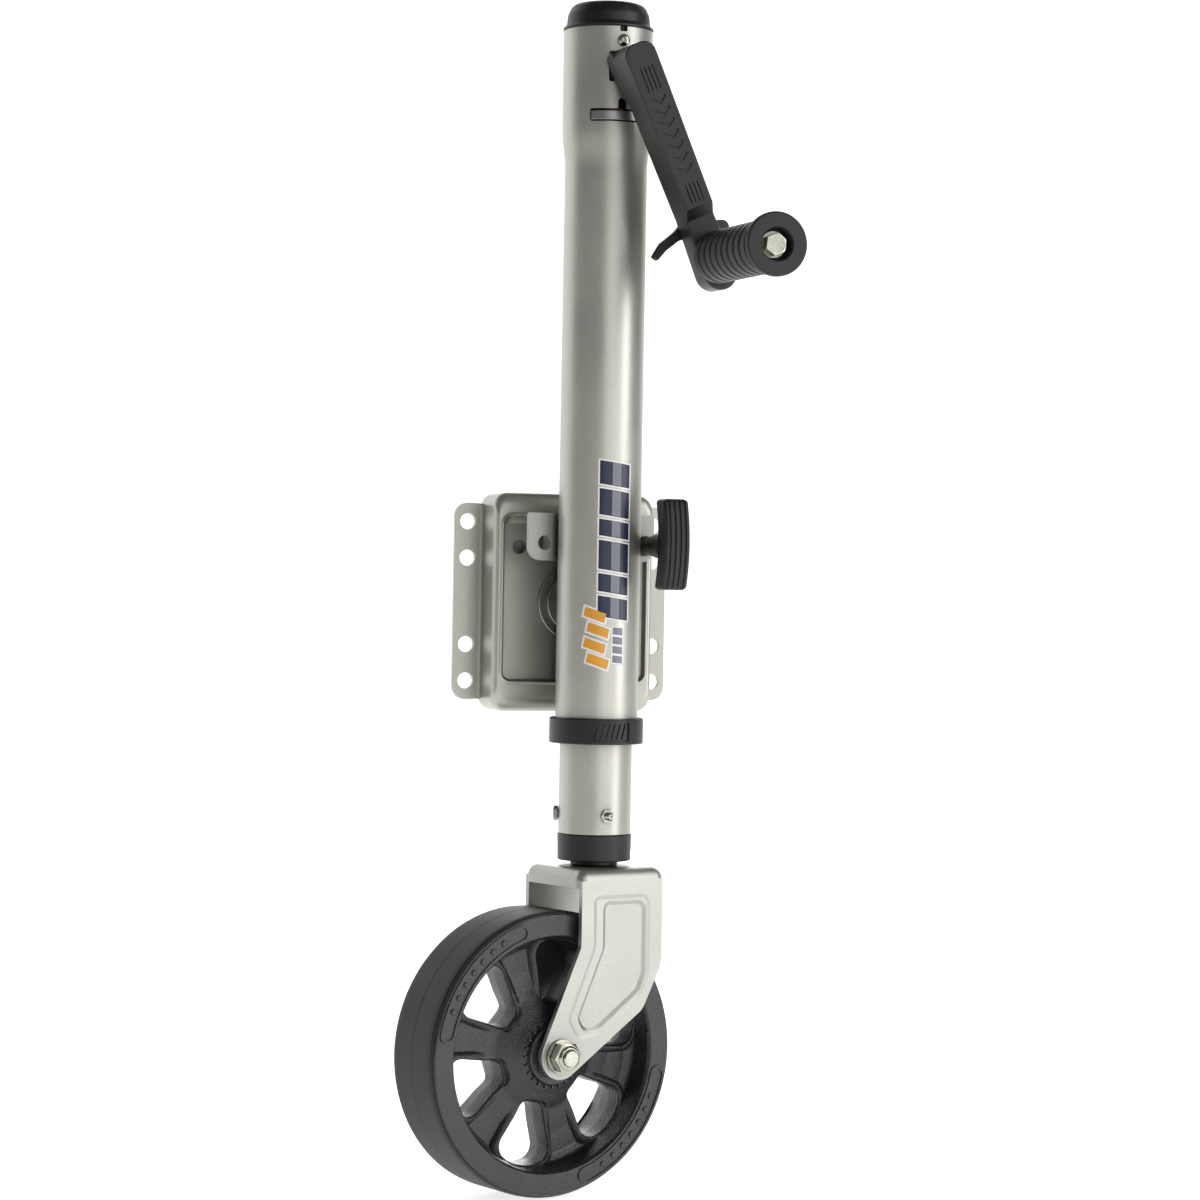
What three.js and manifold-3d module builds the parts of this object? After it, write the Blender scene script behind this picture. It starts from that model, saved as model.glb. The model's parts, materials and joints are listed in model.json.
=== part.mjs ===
// Swing-up trailer tongue jack: side-wind crank, screw lift in a telescoping tube, caster wheel.
// Millimetres, +Z up, -Y is the front (crank side), +X is to the right seen from the front.
// The origin is the centre of the frame bolt pattern, in the plane of the flanges' back faces.
import * as THREE from 'three';
import { mergeVertices } from 'three/addons/utils/BufferGeometryUtils.js';
import Module from 'manifold-3d';

const wasm = await Module();
wasm.setup();

// ---------------------------------------------------------------- driving dimensions

const GAP = 0.3; // clearance between pieces that touch or run on each other
const SHEET = 4; // plate thickness of the pressed steel pieces
const WALL = 3; // wall of both tubes

const TUBE_AXIS_Y = -88; // the jack's axis stands this far in front of the flanges
const TUBE_R = 30.15; // outer tube, 60.3 mm pipe
const HEAD_R = 32.7; // swaged head of the outer tube
const TUBE_BOTTOM = -98;
const SWAGE_START = 324;
const SWAGE_END = 341;
const TUBE_TOP = 418.5;

const INNER_R = 26.5; // inner tube
const INNER_TOP = 300;
const INNER_BOTTOM = -168;

const SCREW_R = 9.5;
const SCREW_BOTTOM = 8;
const SCREW_SHOULDER = 350;
const SCREW_JOURNAL_R = 8;
const GEAR_PIN_Z = 365.6; // cross pin through the gear's hub and the screw
const CAP_SCREW_Z = 408;

const CRANK_Z = 389; // height of the crank shaft
const SHAFT_R = 6;
const SHAFT_FRONT = 61.5; // the shaft's end inside the arm
const CRANK_ANGLE = THREE.MathUtils.degToRad(24); // how far the arm hangs towards +X
const ARM_LENGTH = 151; // shaft to grip
const ARM_BACK = 45; // distances in front of the tube axis
const ARM_FRONT = 73;
const BOSS_FRONT = 66;
const BOSS_R = 13; // rounded end of the arm
const BOSS_REACH = 24; // how far the arm goes on past the grip's axis
const GRIP_BACK = 67;
const GRIP_FRONT = 180;
const GRIP_R = 19;
const GRIP_BOLT_R = 4.8;
const GRIP_SLEEVE_R = 7.5;
const HUB_PIN_Y = -39; // cross pin through the crank's hub and the shaft
const LATCH_PIVOT_Z = -126; // along the arm, like every height in the crank's group
const LATCH_PIN_R = 2.6;

const GEAR_TEETH = 18;
const PINION_TEETH = 12;
const GEAR_MODULE = 2;
const GEAR_PITCH_R = (GEAR_TEETH * GEAR_MODULE) / 2;
const PINION_PITCH_R = (PINION_TEETH * GEAR_MODULE) / 2;

const PLATE_BOTTOM = 351.4; // bearing plate that carries the screw
const PLATE_TOP = 355.4;

const BOX_HALF_X = 63; // raised box of the frame bracket
const BOX_HALF_Z = 81.5;
const BOX_FRONT = 36;
const FLANGE_HALF_X = 84.5;
const FLANGE_HALF_Z = 74;
const RECESS_TOP = 65.5; // clears the pull pin, which swings past it
const FLOOR_FRONT = 32; // floor of the bracket's recess
const FLOOR_BACK = 28.5;
const PIVOT_R = 20;
const LOCK_X = 41; // pull pin and its lock hole, across and up from the pivot
const LOCK_Z = 43;
const LOCK_HOLE_R = 5.4;
const PIN_R = 4.75;
const PIN_TIP = FLOOR_FRONT + 0.6;
const PIN_FRONT = 115; // the pin's end inside the handle's neck

const SADDLE_BACK = 38;
const SADDLE_HALF_X = 28;
const SADDLE_BOTTOM = 31;
const SADDLE_TOP = 66;
const EAR_BACK = 67;
const EAR_FRONT = 71;
const EAR_HALF_X = 49.2;

const CASTER_YAW = THREE.MathUtils.degToRad(15); // how far the caster stands turned
const TRAIL = 51;
const AXLE_Z = -324.3;
const AXLE_R = 6.35;
const AXLE_SLEEVE_R = 9.5;
const WHEEL_BUSH_R = 13;
const WHEEL_R = 103.3;
const WHEEL_HALF_W = 27.8;
const HUB_HALF_W = 29;
const STEM_R = 9.5;
const FITTING_Z = -154; // grease fitting and set screw in the inner tube
const FITTING_R = 2.8;
const SET_SCREW_TURN = -25; // degrees from the left towards the back
const FORK_TOP = -191.5;
const FORK_HALF_Y = 36.6;
const FORK_INNER = FORK_HALF_Y - SHEET - GAP; // half the room between the legs, less the gap
const FORK_LEFT = -36.6;
const FORK_RIGHT = 37.9;

// Sides of the round pieces, by size.
const FINE = 32;
const ROUND = 24;
const SMALL = 16;
const TINY = 10;
const WHEEL_SEGMENTS = 40;

// ---------------------------------------------------------------- solids

// A closed triangle geometry as a body that can be joined and cut.
function solid(geometry) {
  const bare = geometry.clone();
  bare.deleteAttribute('normal');
  bare.deleteAttribute('uv');
  const merged = mergeVertices(bare, 1e-4);
  const index = merged.index.array;
  const triangles = [];
  for (let i = 0; i < index.length; i += 3) {
    const [a, b, c] = [index[i], index[i + 1], index[i + 2]];
    if (a !== b && b !== c && c !== a) triangles.push(a, b, c);
  }
  return new wasm.Manifold(new wasm.Mesh({
    numProp: 3,
    vertProperties: new Float32Array(merged.attributes.position.array),
    triVerts: new Uint32Array(triangles),
  }));
}

function geometryOf(body) {
  const mesh = body.getMesh();
  const geometry = new THREE.BufferGeometry();
  geometry.setAttribute('position', new THREE.BufferAttribute(new Float32Array(mesh.vertProperties), 3));
  geometry.setIndex(new THREE.BufferAttribute(new Uint32Array(mesh.triVerts), 1));
  geometry.computeVertexNormals();
  return geometry;
}

function box(x0, x1, y0, y1, z0, z1) {
  const geometry = new THREE.BoxGeometry(x1 - x0, y1 - y0, z1 - z0);
  geometry.translate((x0 + x1) / 2, (y0 + y1) / 2, (z0 + z1) / 2);
  return solid(geometry);
}

// Profiles are [radius, height] pairs that run counter-clockwise.
const rod = (r, lo, hi) => [[0, lo], [r, lo], [r, hi], [0, hi]];
const ring = (rIn, rOut, lo, hi) => [[rIn, lo], [rOut, lo], [rOut, hi], [rIn, hi], [rIn, lo]];

function lathe(profile, segments) {
  return new THREE.LatheGeometry(profile.map(([r, h]) => new THREE.Vector2(r, h)), segments);
}

// Turned about Z, heights upwards.
function turned(profile, segments = SMALL) {
  return solid(lathe(profile, segments).rotateX(Math.PI / 2));
}

// Turned about the Y axis, heights forwards (towards -Y), moved to x and z.
function turnedForward(profile, segments = SMALL, x = 0, z = 0) {
  return solid(lathe(profile, segments).rotateX(Math.PI).translate(x, 0, z));
}

// Turned about the X axis, heights towards +X, moved to y and z.
function turnedSideways(profile, segments = SMALL, y = 0, z = 0) {
  return solid(lathe(profile, segments).rotateZ(-Math.PI / 2).translate(0, y, z));
}

// A shape drawn in X and Z, extruded forwards from one distance to another.
function slab(shape, near, far, curveSegments = 3) {
  const geometry = new THREE.ExtrudeGeometry(shape, {
    depth: far - near, bevelEnabled: false, curveSegments,
  });
  return solid(geometry.rotateX(Math.PI / 2).translate(0, -near, 0));
}

function polygon(points) {
  return new THREE.Shape(points.map(([x, z]) => new THREE.Vector2(x, z)));
}

function roundedRect(x0, x1, z0, z1, r) {
  const shape = new THREE.Shape();
  shape.moveTo(x0 + r, z0);
  shape.lineTo(x1 - r, z0);
  shape.absarc(x1 - r, z0 + r, r, -Math.PI / 2, 0);
  shape.lineTo(x1, z1 - r);
  shape.absarc(x1 - r, z1 - r, r, 0, Math.PI / 2);
  shape.lineTo(x0 + r, z1);
  shape.absarc(x0 + r, z1 - r, r, Math.PI / 2, Math.PI);
  shape.lineTo(x0, z0 + r);
  shape.absarc(x0 + r, z0 + r, r, Math.PI, 1.5 * Math.PI);
  return shape;
}

function hexagon(acrossFlats, x = 0, z = 0) {
  const r = acrossFlats / Math.sqrt(3);
  const corners = [0, 1, 2, 3, 4, 5].map((i) => (i * Math.PI) / 3);
  return polygon(corners.map((a) => [x + r * Math.cos(a), z + r * Math.sin(a)]));
}

function union(...bodies) {
  return bodies.reduce((sum, body) => sum.add(body));
}

function without(body, ...cutters) {
  return cutters.reduce((rest, cutter) => rest.subtract(cutter), body);
}

// ---------------------------------------------------------------- materials

function finish(color, roughness, metalness) {
  return new THREE.MeshStandardMaterial({ color, roughness, metalness });
}

const silverPaint = () => finish(0xb3b0a6, 0.4, 0.7);
const brightZinc = () => finish(0xcfccc2, 0.35, 0.9);
const plainSteel = () => finish(0x8f8f8c, 0.35, 0.95);
const blackPlastic = () => finish(0x242426, 0.55, 0.0);
const bronze = () => finish(0xa67c45, 0.45, 0.8);
const nylon = () => finish(0xd8d4c8, 0.6, 0.0);
const tyreRubber = () => finish(0x2d2926, 0.75, 0.0);

const jack = new THREE.Group();

// Everything on the jack's own axis, so that its heights and forward distances start there.
const onAxis = new THREE.Group();
onAxis.position.y = TUBE_AXIS_Y;
jack.add(onAxis);

const crank = new THREE.Group();
crank.position.z = CRANK_Z;
crank.rotation.y = -CRANK_ANGLE;
onAxis.add(crank);

const caster = new THREE.Group();
caster.rotation.z = CASTER_YAW;
onAxis.add(caster);

function place(group, name, body, material) {
  const mesh = new THREE.Mesh(geometryOf(body), material);
  mesh.name = name;
  group.add(mesh);
}

// ---------------------------------------------------------------- frame bracket and pivot

function frameBracket() {
  const holeX = 74.5;
  const holeR = 6;
  const recess = roundedRect(-57, 57, -59, RECESS_TOP, 9);
  const [cavityX, cavityZ] = [BOX_HALF_X - SHEET, BOX_HALF_Z - SHEET];
  const cavity = roundedRect(-cavityX, cavityX, -cavityZ, cavityZ, 8);
  const flanges = roundedRect(-FLANGE_HALF_X, FLANGE_HALF_X, -FLANGE_HALF_Z, FLANGE_HALF_Z, 10);
  const raised = roundedRect(-BOX_HALF_X, BOX_HALF_X, -BOX_HALF_Z, BOX_HALF_Z, 11);
  let body = slab(flanges, 0, SHEET).add(slab(raised, 0, BOX_FRONT)).subtract(slab(cavity, -1, FLOOR_BACK));
  body = body.subtract(slab(recess, FLOOR_FRONT, BOX_FRONT + 1));
  body = body.subtract(turnedForward(rod(PIVOT_R + GAP, FLOOR_BACK - 1, FLOOR_FRONT + 1), ROUND));
  for (const side of [-1, 1]) {
    for (const z of [-59.6, -32.4, 32.4, 59.6]) {
      body = body.subtract(turnedForward(rod(holeR, -1, SHEET + 1), TINY, side * holeX, z));
    }
  }
  // the pin's places with the jack upright, and after it has swung a quarter turn
  for (const [x, z] of [[LOCK_X, LOCK_Z], [-LOCK_Z, LOCK_X]]) {
    body = body.subtract(turnedForward(rod(LOCK_HOLE_R, FLOOR_BACK - 1, FLOOR_FRONT + 1), SMALL, x, z));
  }
  return body;
}

// The post that the whole jack swings on, with a shoulder in front and a ring groove behind.
function pivotPost() {
  const front = SADDLE_BACK - GAP;
  return turnedForward([
    [0, 20], [PIVOT_R, 20], [PIVOT_R, 24.7], [18, 24.7], [18, 27.3], [PIVOT_R, 27.3],
    [PIVOT_R, 35.1], [PIVOT_R + 2, 35.1], [PIVOT_R + 2, front], [0, front],
  ], ROUND);
}

place(jack, 'frame_bracket', frameBracket(), silverPaint());
place(jack, 'pivot_post', pivotPost(), brightZinc());
place(
  jack, 'pivot_bearing_washer',
  turnedForward(ring(PIVOT_R + 0.4, 28, FLOOR_FRONT + GAP, 34.8), ROUND), brightZinc(),
);
place(
  jack, 'pivot_wave_washer',
  turnedForward(ring(PIVOT_R + 0.4, 26, 27.6, FLOOR_BACK - GAP), ROUND), plainSteel(),
);
place(jack, 'pivot_retaining_ring', turnedForward(ring(18.3, 24, 25, 27), ROUND), plainSteel());

// ---------------------------------------------------------------- swivel saddle and pull pin

// Pressed hat section welded to the tube, with two drilled ears and a narrow tail below.
function swivelSaddle() {
  const innerX = SADDLE_HALF_X - SHEET;
  const ears = roundedRect(-EAR_HALF_X, EAR_HALF_X, SADDLE_BOTTOM, SADDLE_TOP, 10);
  const squareTop = polygon([
    [-EAR_HALF_X, SADDLE_TOP - 12], [EAR_HALF_X, SADDLE_TOP - 12],
    [EAR_HALF_X, SADDLE_TOP], [-EAR_HALF_X, SADDLE_TOP],
  ]);
  const tailHalfX = 15;
  const tailBottom = -60;
  let body = union(
    box(-SADDLE_HALF_X, SADDLE_HALF_X, -EAR_FRONT, -SADDLE_BACK, SADDLE_BOTTOM, SADDLE_TOP),
    slab(ears, EAR_BACK, EAR_FRONT),
    slab(squareTop, EAR_BACK, EAR_FRONT),
  );
  const webFront = SADDLE_BACK + 5;
  const footFront = -TUBE_AXIS_Y - TUBE_R + 5;
  body = body.subtract(box(-innerX, innerX, -EAR_FRONT - 1, -webFront, SADDLE_BOTTOM - 1, SADDLE_TOP + 1));
  body = body.add(box(-tailHalfX, tailHalfX, -webFront, -SADDLE_BACK, tailBottom, SADDLE_BOTTOM + 1));
  body = body.add(box(-tailHalfX, tailHalfX, -footFront, -SADDLE_BACK, tailBottom, tailBottom + 5));
  for (const [x, z] of [[LOCK_X, LOCK_Z], [-36.3, 44]]) {
    body = body.subtract(turnedForward(rod(LOCK_HOLE_R, EAR_BACK - 1, EAR_FRONT + 1), SMALL, x, z));
  }
  const tubeRoom = turned(rod(TUBE_R + GAP, tailBottom - 1, SADDLE_TOP + 1), FINE);
  return body.subtract(tubeRoom.translate([0, TUBE_AXIS_Y, 0]));
}

// The bowed cross bar and the tapered neck that run out to the puller's hand.
function pullHandle() {
  const halfWidth = 9.5;
  const halfHeight = 33;
  const rise = 1; // the bar's middle above the pin
  const neckBack = EAR_FRONT + 1;
  const barBack = 125;
  const barFront = 142;
  const bow = 4; // how far the ends bend back
  const side = new THREE.Shape();
  side.moveTo(barBack - bow, -halfHeight);
  side.lineTo(barFront - bow, -halfHeight);
  side.quadraticCurveTo(barFront + bow, 0, barFront - bow, halfHeight);
  side.lineTo(barBack - bow, halfHeight);
  side.quadraticCurveTo(barBack + bow, 0, barBack - bow, -halfHeight);
  const bar = new THREE.ExtrudeGeometry(side, {
    depth: 2 * halfWidth, bevelEnabled: false, curveSegments: 8,
  });
  // the shape's x runs forwards and its y runs up
  bar.rotateX(Math.PI / 2).rotateZ(-Math.PI / 2).translate(halfWidth, 0, rise);
  const neckR = 10.7;
  const neck = [
    [0, neckBack], [6.5, neckBack], [7, 90], [9, 105],
    [neckR, 119], [neckR, barBack + 2], [0, barBack + 2],
  ];
  let body = solid(bar).add(turnedForward(neck, SMALL));
  body = body.subtract(turnedForward(rod(PIN_R + GAP, neckBack - 1, PIN_FRONT + GAP), SMALL));
  return body.translate([LOCK_X, 0, LOCK_Z]);
}

function pullPin() {
  const nose = [[0, PIN_TIP], [PIN_R - 1, PIN_TIP], [PIN_R, PIN_TIP + 1.5]];
  const groove = [[PIN_R, 43.2], [PIN_R - 1, 43.2], [PIN_R - 1, 45.8], [PIN_R, 45.8]];
  const end = [[PIN_R, PIN_FRONT], [0, PIN_FRONT]];
  return turnedForward([...nose, ...groove, ...end], SMALL, LOCK_X, LOCK_Z);
}

place(jack, 'swivel_saddle', swivelSaddle(), brightZinc());
place(jack, 'pull_handle', pullHandle(), blackPlastic());
place(jack, 'pull_pin', pullPin(), brightZinc());
place(
  jack, 'pin_clip',
  turnedForward(ring(PIN_R - 1 + GAP, 9, 43.5, 45.5), SMALL, LOCK_X, LOCK_Z), plainSteel(),
);
place(
  jack, 'pin_spring',
  turnedForward(ring(PIN_R + 0.6, 7.6, 45.9, EAR_BACK - GAP), SMALL, LOCK_X, LOCK_Z), plainSteel(),
);

// ---------------------------------------------------------------- outer tube, cap and collar

function outerTube() {
  const slotX = 21.9; // the plate slot's half width, 42 degrees each way
  const slotBottom = 349.3;
  const slotTop = 358.6;
  const bore = TUBE_R - WALL;
  const headBore = HEAD_R - WALL;
  const shell = turned([
    [bore, TUBE_BOTTOM], [TUBE_R, TUBE_BOTTOM], [TUBE_R, SWAGE_START], [HEAD_R, SWAGE_END],
    [HEAD_R, TUBE_TOP], [headBore, TUBE_TOP], [headBore, SWAGE_END - 0.5], [bore, SWAGE_START],
    [bore, TUBE_BOTTOM],
  ], FINE);
  return without(
    shell,
    box(-2.8, 2.8, -40, -20, TUBE_TOP - 4, TUBE_TOP + 1), // notch in the rim
    box(-10.3, 10.3, -40, -20, CRANK_Z - 11, CRANK_Z + 11), // window for the crank hub
    box(-slotX, slotX, -40, 0, slotBottom, slotTop),
    box(-3.3, 3.3, -40, -20, slotTop - 1, 366.5),
    turnedForward(rod(2.5, 20, 40), TINY, 0, CAP_SCREW_Z),
    turnedForward(rod(8.5, -40, -20), SMALL, 0, CRANK_Z), // rear bush hole
  );
}

function tubeCap() {
  const spigotR = HEAD_R - WALL - 0.4;
  const spigotBore = spigotR - 2.5;
  const spigotBottom = 401;
  const flangeR = HEAD_R + GAP;
  const flangeTop = 420.8;
  const domeR = 30.3;
  const domeShoulder = 430.5;
  const shoulderR = 7.5;
  const shoulderSteps = 5;
  const profile = [
    [spigotBore, spigotBottom], [spigotR, spigotBottom], [spigotR, TUBE_TOP + GAP],
    [flangeR, TUBE_TOP + GAP], [flangeR, flangeTop], [domeR, flangeTop + 0.8], [domeR, domeShoulder],
  ];
  for (let step = 1; step <= shoulderSteps; step += 1) {
    const a = (step / shoulderSteps) * (Math.PI / 2);
    profile.push([domeR - shoulderR * (1 - Math.cos(a)), domeShoulder + shoulderR * Math.sin(a)]);
  }
  profile.push([0, 438.8], [0, 435.8], [21, 435.4], [spigotBore, 429.5], [spigotBore, spigotBottom]);
  const screwHole = turnedForward(rod(2.5, 20, 40), TINY, 0, CAP_SCREW_Z);
  return turned(profile, ROUND).subtract(screwHole);
}

function upperCollar() {
  const top = -83.4;
  const bottom = -102;
  const r = 34.4;
  const badgeHalfX = 12.3;
  const shell = turned([
    [INNER_R + GAP, bottom], [r, bottom], [r, top], [TUBE_R + GAP, top],
    [TUBE_R + GAP, TUBE_BOTTOM - GAP], [INNER_R + GAP, TUBE_BOTTOM - GAP], [INNER_R + GAP, bottom],
  ], FINE);
  const skin = turned(ring(r - 0.8, r + 2, bottom + 1.5, top - 1.5), FINE);
  return shell.subtract(skin.intersect(box(-badgeHalfX, badgeHalfX, -40, 0, bottom, top)));
}

place(onAxis, 'outer_tube', outerTube(), silverPaint());
place(onAxis, 'tube_cap', tubeCap(), blackPlastic());
place(
  onAxis, 'cap_screw',
  turnedForward(
    [[0, 26.2], [2.2, 26.2], [2.2, 33], [4.4, 33], [4.4, 34.4], [3, 35.6], [0, 35.9]], TINY, 0, CAP_SCREW_Z,
  ),
  brightZinc(),
);
place(onAxis, 'upper_collar', upperCollar(), blackPlastic());

// ---------------------------------------------------------------- gear head

// A straight bevel gear on the Z axis with its apex at the origin and its teeth facing +Z.
// Each outline point is drawn at the teeth's outer end and pulled towards the apex for the inner end.
function bevelGear(teeth, pitchR, mateR, backHeight, phase) {
  const addendum = 1.6;
  const dedendum = 2.1;
  const toe = 0.7;
  const cone = Math.atan2(pitchR, mateR);
  const pointAt = (offset, angle, scale) => {
    const r = (pitchR + offset * Math.cos(cone)) * scale;
    const height = (-mateR + offset * Math.sin(cone)) * scale;
    return [r * Math.cos(angle), r * Math.sin(angle), height];
  };
  const outline = []; // [offset from the pitch cone, angle]
  const pitch = (2 * Math.PI) / teeth;
  for (let tooth = 0; tooth < teeth; tooth += 1) {
    const middle = tooth * pitch + phase;
    outline.push([-dedendum, middle - 0.3 * pitch], [addendum, middle - 0.11 * pitch]);
    outline.push([addendum, middle + 0.11 * pitch], [-dedendum, middle + 0.3 * pitch]);
  }
  const count = outline.length;
  const backZ = -mateR - backHeight;
  const backR = pitchR - dedendum * Math.cos(cone);
  const positions = [];
  outline.forEach(([offset, angle]) => positions.push(...pointAt(offset, angle, toe)));
  outline.forEach(([offset, angle]) => positions.push(...pointAt(offset, angle, 1)));
  outline.forEach(([, angle]) => positions.push(backR * Math.cos(angle), backR * Math.sin(angle), backZ));
  const toeCentre = 3 * count;
  const backCentre = toeCentre + 1;
  positions.push(0, 0, (-mateR - dedendum * Math.sin(cone)) * toe, 0, 0, backZ);
  const index = [];
  for (let i = 0; i < count; i += 1) {
    const next = (i + 1) % count;
    index.push(toeCentre, i, next);
    for (const row of [0, 1]) {
      const [a, b] = [row * count + i, row * count + next];
      index.push(a, a + count, b, b, a + count, b + count);
    }
    index.push(backCentre, 2 * count + next, 2 * count + i);
  }
  const geometry = new THREE.BufferGeometry();
  geometry.setAttribute('position', new THREE.Float32BufferAttribute(positions, 3));
  geometry.setIndex(index);
  return geometry;
}

// The large gear on the screw: its first tooth stands at the rear, where the pinion meets it.
function screwGear() {
  const teeth = solid(bevelGear(GEAR_TEETH, GEAR_PITCH_R, PINION_PITCH_R, 6.5, Math.PI / 2));
  const hubBottom = 361.4;
  const raised = teeth.translate([0, 0, CRANK_Z]);
  const hub = turned(rod(11, hubBottom, CRANK_Z - PINION_PITCH_R - 5), SMALL);
  return without(
    raised.add(hub),
    turned(rod(SCREW_JOURNAL_R + GAP, hubBottom - 1, CRANK_Z), SMALL),
    turnedSideways(rod(2.1, -20, 20), TINY, 0, GEAR_PIN_Z),
  );
}

// The small gear on the crank shaft, behind the screw's axis. A gap between two teeth faces down.
function drivePinion() {
  const phase = Math.PI / PINION_TEETH;
  const teeth = bevelGear(PINION_TEETH, PINION_PITCH_R, GEAR_PITCH_R, 4, -Math.PI / 2 + phase);
  // the apex side faces forwards, so local +Z turns to -Y
  const body = solid(teeth.rotateX(Math.PI / 2)).rotate([0, THREE.MathUtils.radToDeg(CRANK_ANGLE), 0]);
  return body.subtract(turnedForward(rod(SHAFT_R + GAP, -40, 0), SMALL));
}

function bearingPlate() {
  const tabRoom = box(-21, 21, -40, 0, 340, 370);
  const tab = turned(rod(HEAD_R - 0.7, PLATE_BOTTOM, PLATE_TOP), FINE).intersect(tabRoom);
  const disc = turned(rod(HEAD_R - WALL - 0.4, PLATE_BOTTOM, PLATE_TOP), FINE);
  return disc.add(tab).subtract(turned(rod(SCREW_JOURNAL_R + 0.6, 340, 370), SMALL));
}

function leadScrew() {
  const top = 376;
  const rodBody = turned([
    [0, SCREW_BOTTOM], [SCREW_R - 1.5, SCREW_BOTTOM], [SCREW_R, SCREW_BOTTOM + 1.5],
    [SCREW_R, SCREW_SHOULDER], [SCREW_JOURNAL_R, SCREW_SHOULDER], [SCREW_JOURNAL_R, top], [0, top],
  ], SMALL);
  return rodBody.subtract(turnedSideways(rod(2.1, -20, 20), TINY, 0, GEAR_PIN_Z));
}

place(onAxis, 'bearing_plate', bearingPlate(), brightZinc());
place(
  onAxis, 'thrust_washer',
  turned(ring(SCREW_JOURNAL_R + 0.6, 17, PLATE_TOP + GAP, 357.2), SMALL), plainSteel(),
);
place(
  onAxis, 'thrust_bearing',
  turned(ring(SCREW_JOURNAL_R + 0.6, 17, 357.5, 361.1), SMALL), bronze(),
);
place(onAxis, 'bevel_gear', screwGear(), plainSteel());
place(onAxis, 'lead_screw', leadScrew(), plainSteel());
place(onAxis, 'gear_roll_pin', turnedSideways(rod(1.8, -10.6, 10.6), TINY, 0, GEAR_PIN_Z), plainSteel());
place(
  onAxis, 'rear_bush',
  turnedForward([
    [SHAFT_R + GAP, -34], [8.2, -34], [8.2, -27.4], [10.5, -27.4], [10.5, -25.4],
    [SHAFT_R + GAP, -25.4], [SHAFT_R + GAP, -34],
  ], SMALL, 0, CRANK_Z),
  bronze(),
);
place(
  onAxis, 'front_bearing_block',
  box(-14, 14, -25.6, -19, CRANK_Z - 14, CRANK_Z + 12)
    .subtract(turnedForward(rod(SHAFT_R + GAP, 10, 30), SMALL, 0, CRANK_Z)),
  plainSteel(),
);

// ---------------------------------------------------------------- lift: inner tube and what it carries

// Turned about the set screw's axis, which leaves the tube at the left, a little to the back.
function setScrew(profile, segments) {
  return turnedSideways(profile, segments, 0, FITTING_Z).rotate([0, 0, SET_SCREW_TURN]);
}

function innerTube() {
  const shell = turned(ring(INNER_R - WALL, INNER_R, INNER_BOTTOM, INNER_TOP), ROUND);
  return without(
    shell,
    turnedForward(rod(FITTING_R + GAP, 15, 35), TINY, 0, FITTING_Z),
    setScrew(rod(FITTING_R + GAP, -35, -15), TINY),
  );
}

function leadNut() {
  const bore = SCREW_R + GAP;
  const spigotR = INNER_R - WALL - GAP;
  const rimR = INNER_R - 0.2;
  const [bottom, rimTop, top] = [272, 304.3, 310];
  return turned([
    [bore, bottom], [spigotR, bottom], [spigotR, INNER_TOP + GAP], [rimR, INNER_TOP + GAP],
    [rimR, rimTop], [22, rimTop], [22, top], [bore, top], [bore, bottom],
  ], ROUND);
}

// The black collar that closes the inner tube and carries the caster's stem.
function lowerCollar() {
  const bore = STEM_R + GAP;
  const spigotR = INNER_R - WALL - GAP;
  const [bottom, top] = [-187.6, -144];
  const body = turned([
    [bore, bottom], [INNER_R + 0.3, bottom], [INNER_R + 0.6, INNER_BOTTOM - GAP], [spigotR, INNER_BOTTOM - GAP],
    [spigotR, top], [bore, top], [bore, bottom],
  ], ROUND);
  return without(
    body,
    turnedForward(rod(FITTING_R + GAP, 15, 35), TINY, 0, FITTING_Z),
    setScrew(rod(FITTING_R + GAP, -35, -15), TINY),
  );
}

place(onAxis, 'inner_tube', innerTube(), silverPaint());
place(onAxis, 'lead_nut', leadNut(), bronze());
place(onAxis, 'guide_ring', turned(ring(22.3, TUBE_R - WALL - GAP, 304.6, 309.6), ROUND), nylon());
place(onAxis, 'stem_bush', turned(ring(STEM_R + GAP, INNER_R - WALL - GAP, -124, -112), SMALL), bronze());
place(onAxis, 'lower_collar', lowerCollar(), blackPlastic());
place(
  onAxis, 'grease_fitting',
  turnedForward([
    [0, 18], [FITTING_R, 18], [FITTING_R, 26.8], [4.6, 26.8], [4.6, 29.3], [2.6, 29.8], [2.2, 31.6],
    [3, 33], [2.2, 34.6], [0, 34.8],
  ], TINY, 0, FITTING_Z),
  brightZinc(),
);
place(
  onAxis, 'stem_set_screw',
  union(
    setScrew(rod(FITTING_R, -28, -18), TINY),
    setScrew(rod(4.6, -31.6, -26.8), 6), // hexagon head
  ),
  plainSteel(),
);

// ---------------------------------------------------------------- crank

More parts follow.
